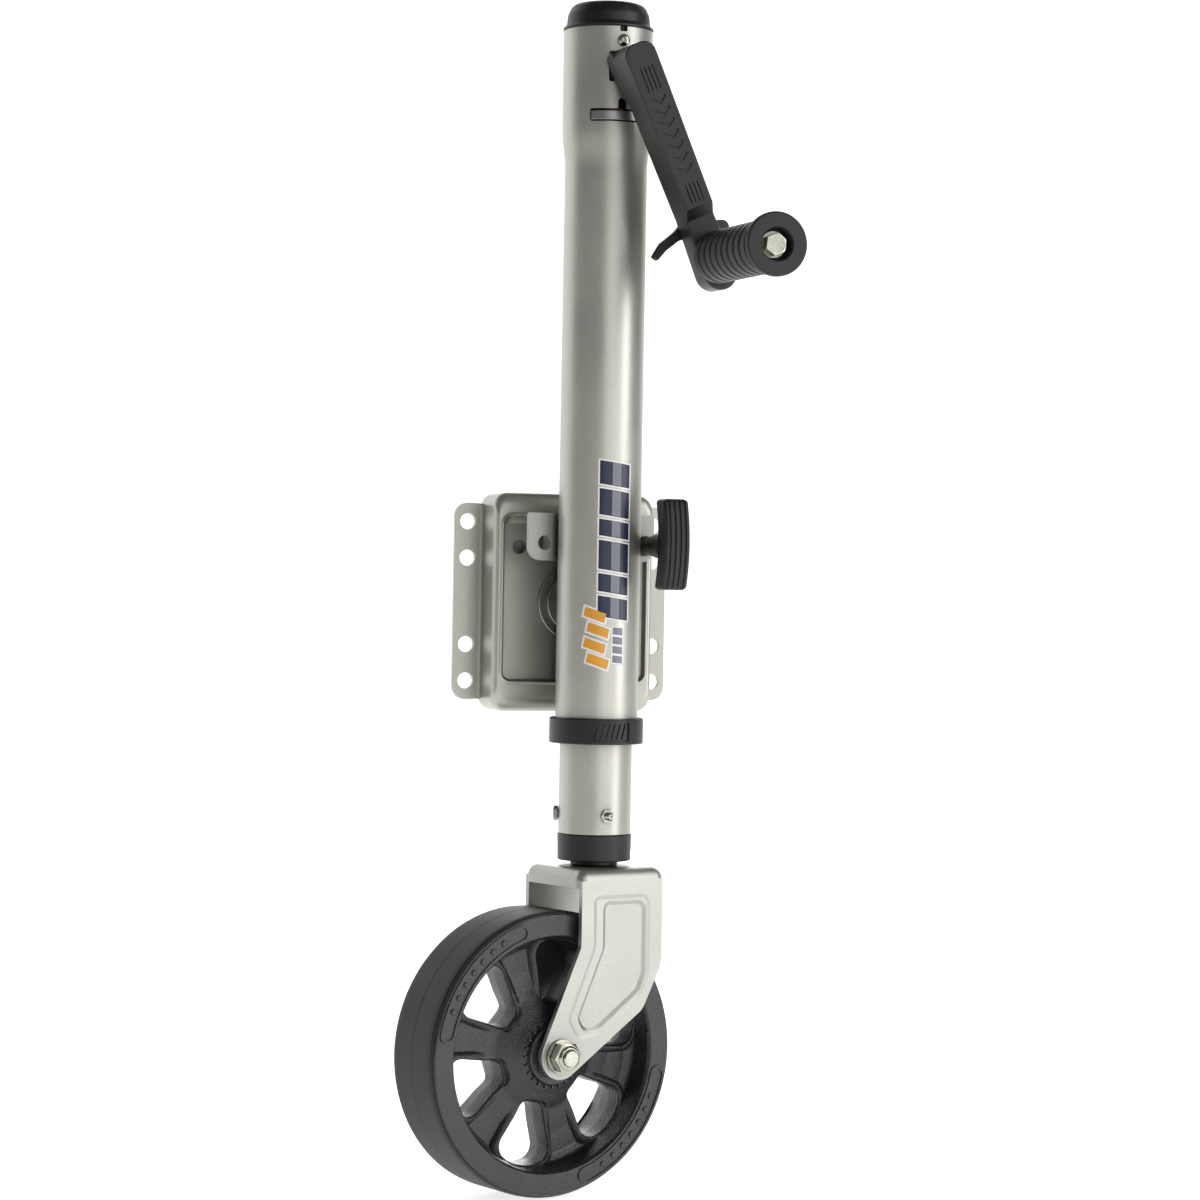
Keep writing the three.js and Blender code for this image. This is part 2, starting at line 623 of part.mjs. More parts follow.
// Arm, hub and grip boss in one moulding. Its shaft end is at the group's origin and it hangs along -Z.
function crankArm() {
  const topR = 12.2;
  const waist = 10.6;
  const stepZ = -112; // the face drops back here to the grip boss
  const arm = new THREE.Shape();
  arm.moveTo(-waist, stepZ - 12);
  arm.lineTo(waist, stepZ - 12);
  arm.lineTo(topR - 0.3, 0);
  arm.absarc(0, 0, topR, 0, Math.PI);
  const endZ = -ARM_LENGTH - BOSS_REACH + BOSS_R;
  const boss = new THREE.Shape();
  boss.moveTo(waist, stepZ);
  boss.lineTo(-waist, stepZ);
  boss.absarc(0, endZ, BOSS_R, Math.PI, 2 * Math.PI);
  const slope = new THREE.Shape([
    new THREE.Vector2(BOSS_FRONT, stepZ - 6), new THREE.Vector2(BOSS_FRONT, stepZ - 20),
    new THREE.Vector2(ARM_FRONT + 1, stepZ - 20), new THREE.Vector2(ARM_FRONT + 1, stepZ + 1),
  ]);
  const slopeCut = new THREE.ExtrudeGeometry(slope, { depth: 60, bevelEnabled: false });
  // the shape's x runs forwards and its y runs up
  slopeCut.rotateX(Math.PI / 2).rotateZ(-Math.PI / 2).translate(30, 0, 0);
  const body = union(
    slab(arm, ARM_BACK, ARM_FRONT, 6),
    slab(boss, ARM_BACK, BOSS_FRONT, 8),
    turnedForward(rod(9.6, 26.2, ARM_BACK + 1), SMALL),
  );
  return without(
    body,
    solid(slopeCut),
    turnedForward(rod(SHAFT_R + GAP, 20, SHAFT_FRONT + 0.5), SMALL),
    turnedSideways(rod(2, -20, 20), TINY, HUB_PIN_Y, 0),
    turnedForward(rod(GRIP_BOLT_R + GAP, 40, 80), SMALL, 0, -ARM_LENGTH),
    slab(hexagon(15, 0, -ARM_LENGTH), ARM_BACK - 1, ARM_BACK + 8), // pocket for the nut
    turnedForward(rod(LATCH_PIN_R + GAP, 40, 58), TINY, 0, LATCH_PIVOT_Z),
  );
}

function crankShaft() {
  const back = -36.5;
  const body = turnedForward([
    [0, back], [SHAFT_R, back], [SHAFT_R, -35.4], [5, -35.4], [5, -34.2], [SHAFT_R, -34.2],
    [SHAFT_R, SHAFT_FRONT], [0, SHAFT_FRONT],
  ], SMALL);
  return body.subtract(turnedSideways(rod(2, -20, 20), TINY, HUB_PIN_Y, 0));
}

// Ribbed hand grip that turns on the sleeve, with a round end plate and a pocket for the bolt head.
function crankGrip() {
  const ribs = 9;
  const ribPitch = 11.1;
  const grooveR = GRIP_R - 2;
  const bore = GRIP_SLEEVE_R + GAP;
  const discR = 22.5;
  const pocketR = 11.2;
  const pocketBack = GRIP_FRONT - 10;
  const profile = [[bore, GRIP_BACK], [grooveR, GRIP_BACK]];
  for (let rib = 0; rib < ribs; rib += 1) {
    const start = GRIP_BACK + 3.5 + rib * ribPitch;
    profile.push([grooveR, start], [GRIP_R, start + 1.5], [GRIP_R, start + 7.5]);
  }
  profile.push([grooveR, GRIP_FRONT - 7], [discR, GRIP_FRONT - 5.5], [discR, GRIP_FRONT - 1]);
  profile.push([discR - 1, GRIP_FRONT], [pocketR, GRIP_FRONT], [pocketR, pocketBack], [bore, pocketBack]);
  profile.push([bore, GRIP_BACK]);
  return turnedForward(profile, SMALL, 0, -ARM_LENGTH);
}

// Thumb lever behind the arm: a rounded tab on one side and a bent hook on the other.
function storageLatch() {
  const shape = new THREE.Shape();
  shape.moveTo(-8, -121);
  shape.lineTo(-13, -123.5);
  shape.lineTo(-27, -127.5);
  shape.lineTo(-36.5, -134.3);
  shape.lineTo(-34, -138.3);
  shape.lineTo(-25, -134);
  shape.lineTo(-13, -131);
  shape.lineTo(10, -134);
  shape.lineTo(18, -140);
  shape.absarc(21.5, -134, 6.5, -Math.PI / 2, Math.PI / 2);
  shape.lineTo(8, -121);
  const lever = slab(shape, 38, 44, 4);
  return lever.subtract(turnedForward(rod(LATCH_PIN_R + GAP, 30, 50), TINY, 0, LATCH_PIVOT_Z));
}

place(crank, 'crank_shaft', crankShaft(), plainSteel());
place(crank, 'drive_pinion', drivePinion(), plainSteel());
place(crank, 'shaft_circlip', turnedForward(ring(5.3, 8.8, -35.25, -34.35), SMALL), plainSteel());
place(crank, 'crank_arm', crankArm(), blackPlastic());
place(crank, 'crank_roll_pin', turnedSideways(rod(1.7, -9.2, 9.2), TINY, HUB_PIN_Y, 0), plainSteel());
place(
  crank, 'grip_bolt',
  union(
    turnedForward(rod(GRIP_BOLT_R, 45.5, 173), SMALL, 0, -ARM_LENGTH),
    slab(hexagon(14, 0, -ARM_LENGTH), 172.5, 178),
  ),
  brightZinc(),
);
place(
  crank, 'grip_nut',
  slab(hexagon(14.3, 0, -ARM_LENGTH), 45.6, 52.6)
    .subtract(turnedForward(rod(GRIP_BOLT_R + GAP, 40, 60), SMALL, 0, -ARM_LENGTH)),
  brightZinc(),
);
place(
  crank, 'grip_washer',
  turnedForward(ring(GRIP_BOLT_R + GAP, 9.5, 170.4, 172.1), SMALL, 0, -ARM_LENGTH), brightZinc(),
);
place(
  crank, 'grip_sleeve',
  turnedForward(ring(GRIP_BOLT_R + GAP, GRIP_SLEEVE_R, 66.4, 170.1), SMALL, 0, -ARM_LENGTH), plainSteel(),
);
place(
  crank, 'latch_pin',
  turnedForward([
    [0, 36.2], [4.5, 36.2], [5, 37.6], [LATCH_PIN_R, 37.6], [LATCH_PIN_R, 57.5], [0, 57.5],
  ], TINY, 0, LATCH_PIVOT_Z),
  brightZinc(),
);
place(crank, 'crank_grip', crankGrip(), blackPlastic());
place(crank, 'storage_latch', storageLatch(), blackPlastic());

// ---------------------------------------------------------------- caster

const AXLE_ROUND_R = 16.8; // round end of each fork leg

// The angle at which a line from a point touches the leg's round end.
function tangentAngle(x, z, side) {
  const [dx, dz] = [x + TRAIL, z - AXLE_Z];
  return Math.atan2(dz, dx) + side * Math.acos(AXLE_ROUND_R / Math.hypot(dx, dz));
}

function legShape() {
  const knee = [FORK_LEFT, -247];
  const heel = [20, -294.5];
  const leg = new THREE.Shape();
  leg.moveTo(FORK_LEFT, FORK_TOP);
  leg.lineTo(...knee);
  const [start, end] = [tangentAngle(...knee, 1), tangentAngle(...heel, -1) + 2 * Math.PI];
  leg.absarc(-TRAIL, AXLE_Z, AXLE_ROUND_R, start, end);
  leg.lineTo(...heel);
  leg.quadraticCurveTo(FORK_RIGHT - 1, -280, FORK_RIGHT, -262);
  leg.lineTo(FORK_RIGHT, FORK_TOP);
  return leg;
}

function forkPanel() {
  return polygon([
    [-24, -212], [-23.4, -247], [-45.9, -299], [-38.4, -311.5],
    [-23.4, -312.5], [18.6, -282], [24.6, -270], [24.6, -212],
  ]);
}

function casterFork() {
  const innerY = FORK_HALF_Y - SHEET;
  const skirtBottom = FORK_TOP - 13;
  let body = box(FORK_LEFT, FORK_RIGHT, -FORK_HALF_Y, FORK_HALF_Y, FORK_TOP - SHEET, FORK_TOP);
  body = body.add(box(FORK_LEFT, FORK_LEFT + SHEET, -FORK_HALF_Y, FORK_HALF_Y, skirtBottom, FORK_TOP));
  body = body.add(box(FORK_RIGHT - SHEET, FORK_RIGHT, -FORK_HALF_Y, FORK_HALF_Y, skirtBottom, FORK_TOP));
  for (const back of [-FORK_HALF_Y, innerY]) {
    body = body.add(slab(legShape(), back, back + SHEET, 6));
  }
  const panelDepth = 1.2;
  return without(
    body,
    slab(forkPanel(), FORK_HALF_Y - panelDepth, FORK_HALF_Y + 1),
    slab(forkPanel(), -FORK_HALF_Y - 1, -FORK_HALF_Y + panelDepth),
    turned(rod(STEM_R + GAP, FORK_TOP - 10, FORK_TOP + 10), SMALL),
    turnedForward(rod(AXLE_R + GAP, -50, 50), SMALL, -TRAIL, AXLE_Z),
  );
}

function casterStem() {
  const headTop = FORK_TOP - SHEET - GAP;
  const grooveR = STEM_R - 1.5;
  return turned([
    [0, -199.5], [14, -199.5], [14, headTop], [STEM_R, headTop], [STEM_R, -111.9],
    [grooveR, -111.9], [grooveR, -109.5], [STEM_R, -109.5], [STEM_R, -105], [0, -104],
  ], SMALL);
}

const WINDOWS = 6;
const FIRST_WINDOW = THREE.MathUtils.degToRad(18);

function wheelWindow(angle) {
  const [innerR, outerR] = [36, 81];
  const at = (r, a) => [-TRAIL + r * Math.cos(angle + a), AXLE_Z + r * Math.sin(angle + a)];
  return polygon([
    at(innerR, -0.1), at(innerR + 6, -0.22), at(outerR - 8, -0.32), at(outerR - 2.5, -0.27),
    at(outerR, -0.15), at(outerR + 0.6, 0), at(outerR, 0.15),
    at(outerR - 2.5, 0.27), at(outerR - 8, 0.32), at(innerR + 6, 0.22), at(innerR, 0.1),
  ]);
}

// Moulded hub: rim channel for the tyre, thin web with windows, and a wide centre boss.
function wheelHub() {
  const webHalfW = 8;
  const bore = WHEEL_BUSH_R + GAP;
  const rimR = 101.2;
  const seatR = 94.7;
  const seatHalfW = WHEEL_HALF_W - 1.7;
  const half = [
    [bore, 0], [bore, HUB_HALF_W], [22, HUB_HALF_W], [26, webHalfW + 5], [34, webHalfW], [81.8, webHalfW],
    [85.8, WHEEL_HALF_W], [rimR, WHEEL_HALF_W], [rimR, seatHalfW], [seatR, seatHalfW],
  ];
  const back = half.map(([r, y]) => [r, -y]);
  const profile = [...back, ...half.slice(1).reverse(), half[0]];
  let body = turnedForward(profile, WHEEL_SEGMENTS, -TRAIL, AXLE_Z);
  for (let i = 0; i < WINDOWS; i += 1) {
    const window = wheelWindow(FIRST_WINDOW + (i * 2 * Math.PI) / WINDOWS);
    body = body.subtract(slab(window, -20, 20));
  }
  return body;
}

function tyre() {
  const inner = 95;
  const edge = WHEEL_R - 1.2;
  const halfW = WHEEL_HALF_W - 2;
  return turnedForward([
    [inner, -halfW], [edge, -halfW], [WHEEL_R, -halfW + 3], [WHEEL_R, halfW - 3],
    [edge, halfW], [inner, halfW], [inner, -halfW],
  ], WHEEL_SEGMENTS, -TRAIL, AXLE_Z);
}

function wheelBush(side) {
  const [near, far] = side > 0 ? [6, HUB_HALF_W] : [-HUB_HALF_W, -6];
  return turnedForward(ring(AXLE_SLEEVE_R + GAP, WHEEL_BUSH_R, near, far), SMALL, -TRAIL, AXLE_Z);
}

function axleSpacer(side) {
  const near = HUB_HALF_W + GAP;
  const [back, front] = side > 0 ? [near, FORK_INNER] : [-FORK_INNER, -near];
  return turnedForward(ring(AXLE_SLEEVE_R + GAP, 15, back, front), SMALL, -TRAIL, AXLE_Z);
}

place(caster, 'caster_fork', casterFork(), brightZinc());
place(caster, 'caster_stem', casterStem(), plainSteel());
place(caster, 'stem_retainer', turned(ring(STEM_R - 1.2, 13, -111.7, -109.7), SMALL), plainSteel());
place(caster, 'swivel_washer', turned(ring(STEM_R + GAP, 17.2, -191.2, -187.9), ROUND), blackPlastic());
place(
  caster, 'axle_bolt',
  union(
    turnedForward(rod(AXLE_R, -FORK_HALF_Y - 2, FORK_HALF_Y + 14), SMALL, -TRAIL, AXLE_Z),
    slab(hexagon(19, -TRAIL, AXLE_Z), -FORK_HALF_Y - 8, -FORK_HALF_Y - 0.5),
  ),
  brightZinc(),
);
place(
  caster, 'axle_nut',
  slab(hexagon(20, -TRAIL, AXLE_Z), FORK_HALF_Y + 2.6, FORK_HALF_Y + 12)
    .subtract(turnedForward(rod(AXLE_R + GAP, 30, 60), SMALL, -TRAIL, AXLE_Z)),
  brightZinc(),
);
place(
  caster, 'axle_washer',
  turnedForward(ring(AXLE_R + GAP, 12.5, FORK_HALF_Y + GAP, FORK_HALF_Y + 2.3), SMALL, -TRAIL, AXLE_Z),
  brightZinc(),
);
place(
  caster, 'axle_sleeve',
  turnedForward(ring(AXLE_R + GAP, AXLE_SLEEVE_R, -FORK_INNER, FORK_INNER), SMALL, -TRAIL, AXLE_Z),
  plainSteel(),
);
place(caster, 'wheel_hub', wheelHub(), blackPlastic());
place(caster, 'tyre', tyre(), tyreRubber());
for (const [label, side] of [['near', 1], ['far', -1]]) {
  place(caster, `wheel_bush_${label}`, wheelBush(side), bronze());
  place(caster, `axle_spacer_${label}`, axleSpacer(side), nylon());
}

export default jack;
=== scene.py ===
"""Looks of a swing-up trailer tongue jack, drawn round the CAD model's frame.

Shapes are drawn in millimetres and brought to metres when they are placed. Front means -Y.
"""
import json
import math

import bmesh
import bpy
from mathutils import Matrix, Vector


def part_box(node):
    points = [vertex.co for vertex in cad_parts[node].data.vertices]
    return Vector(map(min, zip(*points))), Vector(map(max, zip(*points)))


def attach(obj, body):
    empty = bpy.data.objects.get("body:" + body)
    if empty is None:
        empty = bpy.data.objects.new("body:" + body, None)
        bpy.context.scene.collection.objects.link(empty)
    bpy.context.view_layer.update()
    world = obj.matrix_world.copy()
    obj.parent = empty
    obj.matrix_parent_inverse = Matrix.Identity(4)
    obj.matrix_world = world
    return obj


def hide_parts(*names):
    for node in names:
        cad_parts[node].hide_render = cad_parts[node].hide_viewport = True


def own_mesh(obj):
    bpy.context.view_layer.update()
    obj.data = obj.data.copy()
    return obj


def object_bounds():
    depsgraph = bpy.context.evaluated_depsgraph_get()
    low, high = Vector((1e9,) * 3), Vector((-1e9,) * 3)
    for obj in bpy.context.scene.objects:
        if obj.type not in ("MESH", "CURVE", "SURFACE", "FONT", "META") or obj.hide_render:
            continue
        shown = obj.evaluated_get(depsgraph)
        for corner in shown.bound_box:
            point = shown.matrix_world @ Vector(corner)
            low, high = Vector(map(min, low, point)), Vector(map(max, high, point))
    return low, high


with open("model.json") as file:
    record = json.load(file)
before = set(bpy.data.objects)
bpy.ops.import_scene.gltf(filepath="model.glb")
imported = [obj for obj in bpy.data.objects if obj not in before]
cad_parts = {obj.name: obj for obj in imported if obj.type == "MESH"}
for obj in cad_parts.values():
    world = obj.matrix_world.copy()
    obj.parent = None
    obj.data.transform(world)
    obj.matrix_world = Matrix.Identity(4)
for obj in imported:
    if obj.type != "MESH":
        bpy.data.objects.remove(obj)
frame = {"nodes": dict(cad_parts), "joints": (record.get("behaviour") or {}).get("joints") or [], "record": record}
CAD_LOW, CAD_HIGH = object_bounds()

MM = 0.001
scene = bpy.context.scene

# ---------------------------------------------------------------- places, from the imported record

JOINTS = {joint["name"]: joint for joint in frame["joints"]}


def joint_place(name):
    """Where a joint's axis stands, in millimetres."""
    return Vector(JOINTS[name]["pos_m"]) / MM


CRANK_HOME = joint_place("crank_turn")
GRIP_HOME = joint_place("grip_spin")
WHEEL_HOME = joint_place("wheel_spin")
WHEEL_AXIS = Vector(JOINTS["wheel_spin"]["axis"])
AXIS_Y = CRANK_HOME.y
HANG = math.atan2(GRIP_HOME.x - CRANK_HOME.x, CRANK_HOME.z - GRIP_HOME.z)
YAW = math.atan2(WHEEL_AXIS.x, -WHEEL_AXIS.y)

JACK = Matrix.Identity(4)
AXIS = Matrix.Translation((0, AXIS_Y, 0))
CRANK = Matrix.Translation(CRANK_HOME) @ Matrix.Rotation(-HANG, 4, "Y")
CASTER = AXIS @ Matrix.Rotation(YAW, 4, "Z")
WHEEL = Matrix.Translation(WHEEL_HOME) @ Matrix.Rotation(YAW, 4, "Z")
ARM_LENGTH = (GRIP_HOME - CRANK_HOME).length
AXLE_Z = WHEEL_HOME.z
TRAIL = (WHEEL_HOME - Vector((0, AXIS_Y, AXLE_Z))).length
LOCK = Vector((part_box("pull_pin")[0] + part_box("pull_pin")[1])) / 2 / MM

FORWARD = Matrix.Rotation(math.radians(90), 4, "X")
SIDEWAYS = Matrix.Rotation(math.radians(90), 4, "Y")

# ---------------------------------------------------------------- shapes


def as_object(bm, name="work"):
    bmesh.ops.recalc_face_normals(bm, faces=bm.faces)
    mesh = bpy.data.meshes.new(name)
    bm.to_mesh(mesh)
    bm.free()
    made = bpy.data.objects.new(name, mesh)
    scene.collection.objects.link(made)
    return made


def fillet(corners, steps=4, closed=False):
    """A 2D line whose corners given as (x, y, radius) are rounded, and others left sharp."""
    line = []
    for i, corner in enumerate(corners):
        here = Vector(corner[:2])
        radius = corner[2] if len(corner) > 2 else 0
        if radius == 0 or (not closed and i in (0, len(corners) - 1)):
            line.append(tuple(here))
            continue
        back = (Vector(corners[i - 1][:2]) - here).normalized()
        ahead = (Vector(corners[(i + 1) % len(corners)][:2]) - here).normalized()
        half = back.angle(ahead) / 2
        reach = radius / math.tan(half)
        centre = here + (back + ahead).normalized() * (radius / math.sin(half))
        start = (here + back * reach - centre).normalized()
        end = (here + ahead * reach - centre).normalized()
        for k in range(steps + 1):
            line.append(tuple(centre + start.slerp(end, k / steps) * radius))
    return line


def arc(cx, cy, radius, start, end, steps):
    """Points on a circle, from one angle to another in degrees."""
    angles = [math.radians(start + (end - start) * k / steps) for k in range(steps + 1)]
    return [(cx + radius * math.cos(a), cy + radius * math.sin(a)) for a in angles]


def rounded_rect(x0, x1, y0, y1, radius, steps=6):
    corners = [(x0, y0, radius), (x1, y0, radius), (x1, y1, radius), (x0, y1, radius)]
    return fillet(corners, steps, closed=True)


def hexagon(across):
    radius = across / math.sqrt(3)
    angles = [math.radians(60 * k) for k in range(6)]
    return [(radius * math.cos(a), radius * math.sin(a)) for a in angles]


def lathe(profile, segments=96):
    """A body turned about +Z from (radius, height) points. Off the axis the profile closes on itself."""
    bm = bmesh.new()
    rows = []
    for radius, height in profile:
        if radius < 1e-6:
            rows.append([bm.verts.new((0, 0, height))] * segments)
            continue
        angles = [2 * math.pi * k / segments for k in range(segments)]
        rows.append([bm.verts.new((radius * math.cos(a), radius * math.sin(a), height)) for a in angles])
    pairs = list(zip(rows, rows[1:]))
    if profile[0][0] > 1e-6:
        pairs.append((rows[-1], rows[0]))
    for low, high in pairs:
        for i in range(segments):
            j = (i + 1) % segments
            corners = list(dict.fromkeys((low[i], low[j], high[j], high[i])))
            if len(corners) > 2:
                bm.faces.new(corners)
    return as_object(bm)


def turned(corners, segments=96, steps=4, turn=None, at=(0, 0, 0)):
    """A lathe body from (radius, height, rounding) corners, turned to an axis and moved."""
    closed = corners[0][0] > 1e-6
    made = lathe(fillet(corners, steps, closed), segments)
    if turn is not None:
        made.data.transform(turn)
    made.data.transform(Matrix.Translation(at))
    return made


def forward(corners, segments=96, x=0, z=0, steps=4):
    """A lathe body whose heights run forwards."""
    return turned(corners, segments, steps, FORWARD, (x, 0, z))


def rod(radius, low, high, rounding=0):
    return [(0, low), (radius, low, rounding), (radius, high, rounding), (0, high)]


def ring(inner, outer, low, high, rounding=0):
    return [(r, h, rounding) for r, h in ((inner, low), (outer, low), (outer, high), (inner, high))]


def loft(sections):
    """A closed body through loops of 3D points that all have the same count."""
    bm = bmesh.new()
    rows = [[bm.verts.new(point) for point in section] for section in sections]
    count = len(rows[0])
    for low, high in zip(rows, rows[1:]):
        for i in range(count):
            j = (i + 1) % count
            bm.faces.new((low[i], low[j], high[j], high[i]))
    bm.faces.new(rows[0])
    bm.faces.new(list(reversed(rows[-1])))
    return as_object(bm)


def slab(outline, near, far):
    """An (x, z) outline, extruded forwards from one distance to another."""
    return loft([[(x, -g, z) for x, z in outline] for g in (near, far)])


def side_slab(outline, x0, x1):
    """A (forward, z) outline, extruded along X."""
    return loft([[(x, -g, z) for g, z in outline] for x in (x0, x1)])


def flat_slab(outline, z0, z1):
    """An (x, forward) outline, extruded upwards."""
    return loft([[(x, -g, z) for x, g in outline] for z in (z0, z1)])


def box(x0, x1, g0, g1, z0, z1):
    return slab([(x0, z0), (x1, z0), (x1, z1), (x0, z1)], g0, g1)


def settle(body):
    """Applies the body's modifiers to its mesh."""
    depsgraph = bpy.context.evaluated_depsgraph_get()
    mesh = bpy.data.meshes.new_from_object(body.evaluated_get(depsgraph))
    body.modifiers.clear()
    old = body.data
    body.data = mesh
    bpy.data.meshes.remove(old)
    return body


def combine(operation, body, tools):
    for tool in tools:
        modifier = body.modifiers.new("combine", "BOOLEAN")
        modifier.operation = operation
        modifier.solver = "EXACT"
        modifier.object = tool
        settle(body)
        bpy.data.objects.remove(tool)
    return body


def cut(body, *tools):
    return combine("DIFFERENCE", body, tools)


def join(body, *tools):
    return combine("UNION", body, tools)


def common(body, *tools):
    return combine("INTERSECT", body, tools)


def soften(body, width, segments=3, angle=40):
    """Rounds every edge sharper than an angle."""
    modifier = body.modifiers.new("soften", "BEVEL")
    modifier.width = width
    modifier.segments = segments
    modifier.limit_method = "ANGLE"
    modifier.angle_limit = math.radians(angle)
    return settle(body)


def moved(body, x=0, y=0, z=0, turn=None):
    if turn is not None:
        body.data.transform(turn)
    body.data.transform(Matrix.Translation((x, y, z)))
    return body


def copy_of(body):
    made = bpy.data.objects.new("work", body.data.copy())
    scene.collection.objects.link(made)
    return made


CREASE = math.radians(38)


def finish(name, body, rides, slot, look, *nodes, place=JACK):
    """Brings a body to metres in its place, smooths it, and hands it to the frame."""
    mesh = body.data
    mesh.transform(Matrix.Scale(MM, 4) @ place)
    mesh.shade_smooth()
    mesh.set_sharp_from_angle(angle=CREASE)
    even = body.modifiers.new("even", "WEIGHTED_NORMAL")
    even.keep_sharp = True
    settle(body)
    body.data.materials.clear()
    body.data.materials.append(look)
    body.name = name
    body.data.name = name
    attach(body, rides)
    if nodes:
        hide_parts(*nodes)
    return body


# ---------------------------------------------------------------- materials

# how far the painted shade in corners and hollows reaches, in metres
PAINTED_SHADE_REACH = 0.06


class Look:
    """A node material with a few helpers, all in object coordinates."""

    def __init__(self, name, metallic, roughness):
        self.material = bpy.data.materials.new(name)
        self.material.use_nodes = True
        self.nodes = self.material.node_tree.nodes
        self.links = self.material.node_tree.links
        self.shader = self.nodes["Principled BSDF"]
        self.shader.inputs["Metallic"].default_value = metallic
        self.shader.inputs["Roughness"].default_value = roughness
        self.coordinates = self.nodes.new("ShaderNodeTexCoord").outputs["Object"]

    def noise(self, scale, detail=3, roughness=0.5):
        noise = self.nodes.new("ShaderNodeTexNoise")
        noise.inputs["Scale"].default_value = scale
        noise.inputs["Detail"].default_value = detail
        noise.inputs["Roughness"].default_value = roughness
        self.links.new(self.coordinates, noise.inputs["Vector"])
        return noise.outputs["Fac"]

    def math(self, operation, a, b):
        node = self.nodes.new("ShaderNodeMath")
        node.operation = operation
        for socket, value in zip(node.inputs, (a, b)):
            if isinstance(value, (int, float)):
                socket.default_value = value
            else:
                self.links.new(value, socket)
        return node.outputs["Value"]

    def scaled(self, value, low_in, high_in, low_out, high_out):
        node = self.nodes.new("ShaderNodeMapRange")
        node.inputs["From Min"].default_value = low_in
        node.inputs["From Max"].default_value = high_in
        node.inputs["To Min"].default_value = low_out
        node.inputs["To Max"].default_value = high_out
        self.links.new(value, node.inputs["Value"])
        return node.outputs["Result"]

    def paint_hollow_shade(self, colour, depth):
        """Paints shade into a colour where other surfaces stand close by, as in corners and hollows: an
        ambient-occlusion node multiplies the colour.
        """
        near = self.nodes.new("ShaderNodeAmbientOcclusion")
        near.samples = 8
        near.inputs["Distance"].default_value = PAINTED_SHADE_REACH
        mix = self.nodes.new("ShaderNodeMix")
        mix.data_type = "RGBA"
        mix.blend_type = "MULTIPLY"
        mix.inputs["Factor"].default_value = depth
        self.links.new(colour, mix.inputs["A"])
        self.links.new(near.outputs["Color"], mix.inputs["B"])
        return mix.outputs["Result"]

    def colour(self, value, *stops, painted_shade=0):
        ramp = self.nodes.new("ShaderNodeValToRGB")
        elements = ramp.color_ramp.elements
        while len(elements) < len(stops):
            elements.new(0.5)
        for element, (position, rgb) in zip(elements, stops):
            element.position = position
            element.color = (*rgb, 1)
        self.links.new(value, ramp.inputs["Fac"])
        colour = ramp.outputs["Color"]
        # painted shade: an occlusion node darkens the colour in corners and hollows
        if painted_shade:
            colour = self.paint_hollow_shade(colour, painted_shade)
        self.links.new(colour, self.shader.inputs["Base Color"])

    def rough(self, value, low, high):
        self.links.new(self.scaled(value, 0.3, 0.7, low, high), self.shader.inputs["Roughness"])

    def bump(self, value, height, strength):
        bump = self.nodes.new("ShaderNodeBump")
        bump.inputs["Strength"].default_value = strength
        bump.inputs["Distance"].default_value = height
        self.links.new(value, bump.inputs["Height"])
        self.links.new(bump.outputs["Normal"], self.shader.inputs["Normal"])


def tint(rgb, factor):
    return tuple(channel * factor for channel in rgb)


def metal(name, rgb, metallic, rough, flake, blotch, grain_height, spread=0.1):
    """Plated or painted metal: fine flakes, slow blotches in tone and gloss, a light grain, and painted shade in
    corners and hollows.
    """
    look = Look(name, metallic, rough[0])
    fine = look.noise(flake, 2, 0.6)
    slow = look.noise(blotch, 4, 0.6)
    mixed = look.math("ADD", look.math("MULTIPLY", fine, 0.55), look.math("MULTIPLY", slow, 0.45))
    # painted shade at half strength darkens the colour in corners and hollows
    look.colour(mixed, (0.32, tint(rgb, 1 - spread)), (0.68, tint(rgb, 1 + spread)), painted_shade=0.5)
    look.rough(slow, *rough)
    look.bump(fine, grain_height, 0.6)
    return look.material


def moulded(name, rgb, rough, grain, grain_height, cloud=9.0, spread=0.14, specular=0.5):
    """Moulded plastic or rubber with a fine grain and slightly uneven gloss."""
    look = Look(name, 0.0, rough[0])
    look.shader.inputs["Specular IOR Level"].default_value = specular
    fine = look.noise(grain, 3, 0.62)
    slow = look.noise(cloud, 4, 0.6)
    look.colour(slow, (0.3, tint(rgb, 1 - spread)), (0.7, tint(rgb, 1 + spread)))
    mixed = look.math("ADD", look.math("MULTIPLY", fine, 0.5), look.math("MULTIPLY", slow, 0.5))
    look.rough(mixed, *rough)
    look.bump(fine, grain_height, 0.8)
    return look.material


SILVER = metal("silver_paint", (0.50, 0.495, 0.445), 0.82, (0.34, 0.44), 1400, 14, 0.00006)
ZINC = metal("bright_zinc", (0.455, 0.451, 0.418), 0.85, (0.34, 0.48), 900, 30, 0.00005, 0.12)
HARDWARE = metal("zinc_hardware", (0.50, 0.50, 0.43), 1.0, (0.16, 0.26), 700, 120, 0.00004, 0.14)
STEEL = metal("plain_steel", (0.42, 0.42, 0.41), 1.0, (0.28, 0.42), 600, 60, 0.00004, 0.14)
BRONZE = metal("bronze", (0.50, 0.33, 0.14), 1.0, (0.30, 0.45), 700, 50, 0.00004, 0.14)
BLACK = moulded("black_plastic", (0.006, 0.006, 0.0062), (0.36, 0.50), 1500, 0.00010)
GRIP = moulded("grip_rubber", (0.008, 0.008, 0.0085), (0.46, 0.60), 1300, 0.00012)
HUB = moulded("wheel_plastic", (0.0085, 0.0092, 0.0105), (0.24, 0.36), 640, 0.00070, specular=0.75)
TYRE = moulded("tyre_rubber", (0.013, 0.0105, 0.0085), (0.50, 0.64), 1000, 0.00010)
NYLON = moulded("nylon", (0.66, 0.64, 0.58), (0.45, 0.58), 900, 0.00006)

SLOT_LOOKS = {
    "silver_paint": SILVER, "bright_zinc": ZINC, "zinc_hardware": HARDWARE, "plain_steel": STEEL,
    "black_plastic": BLACK, "grip_rubber": GRIP, "wheel_plastic": HUB, "tyre": TYRE,
    "bronze": BRONZE, "nylon": NYLON,
}

# ---------------------------------------------------------------- camera, floor and light

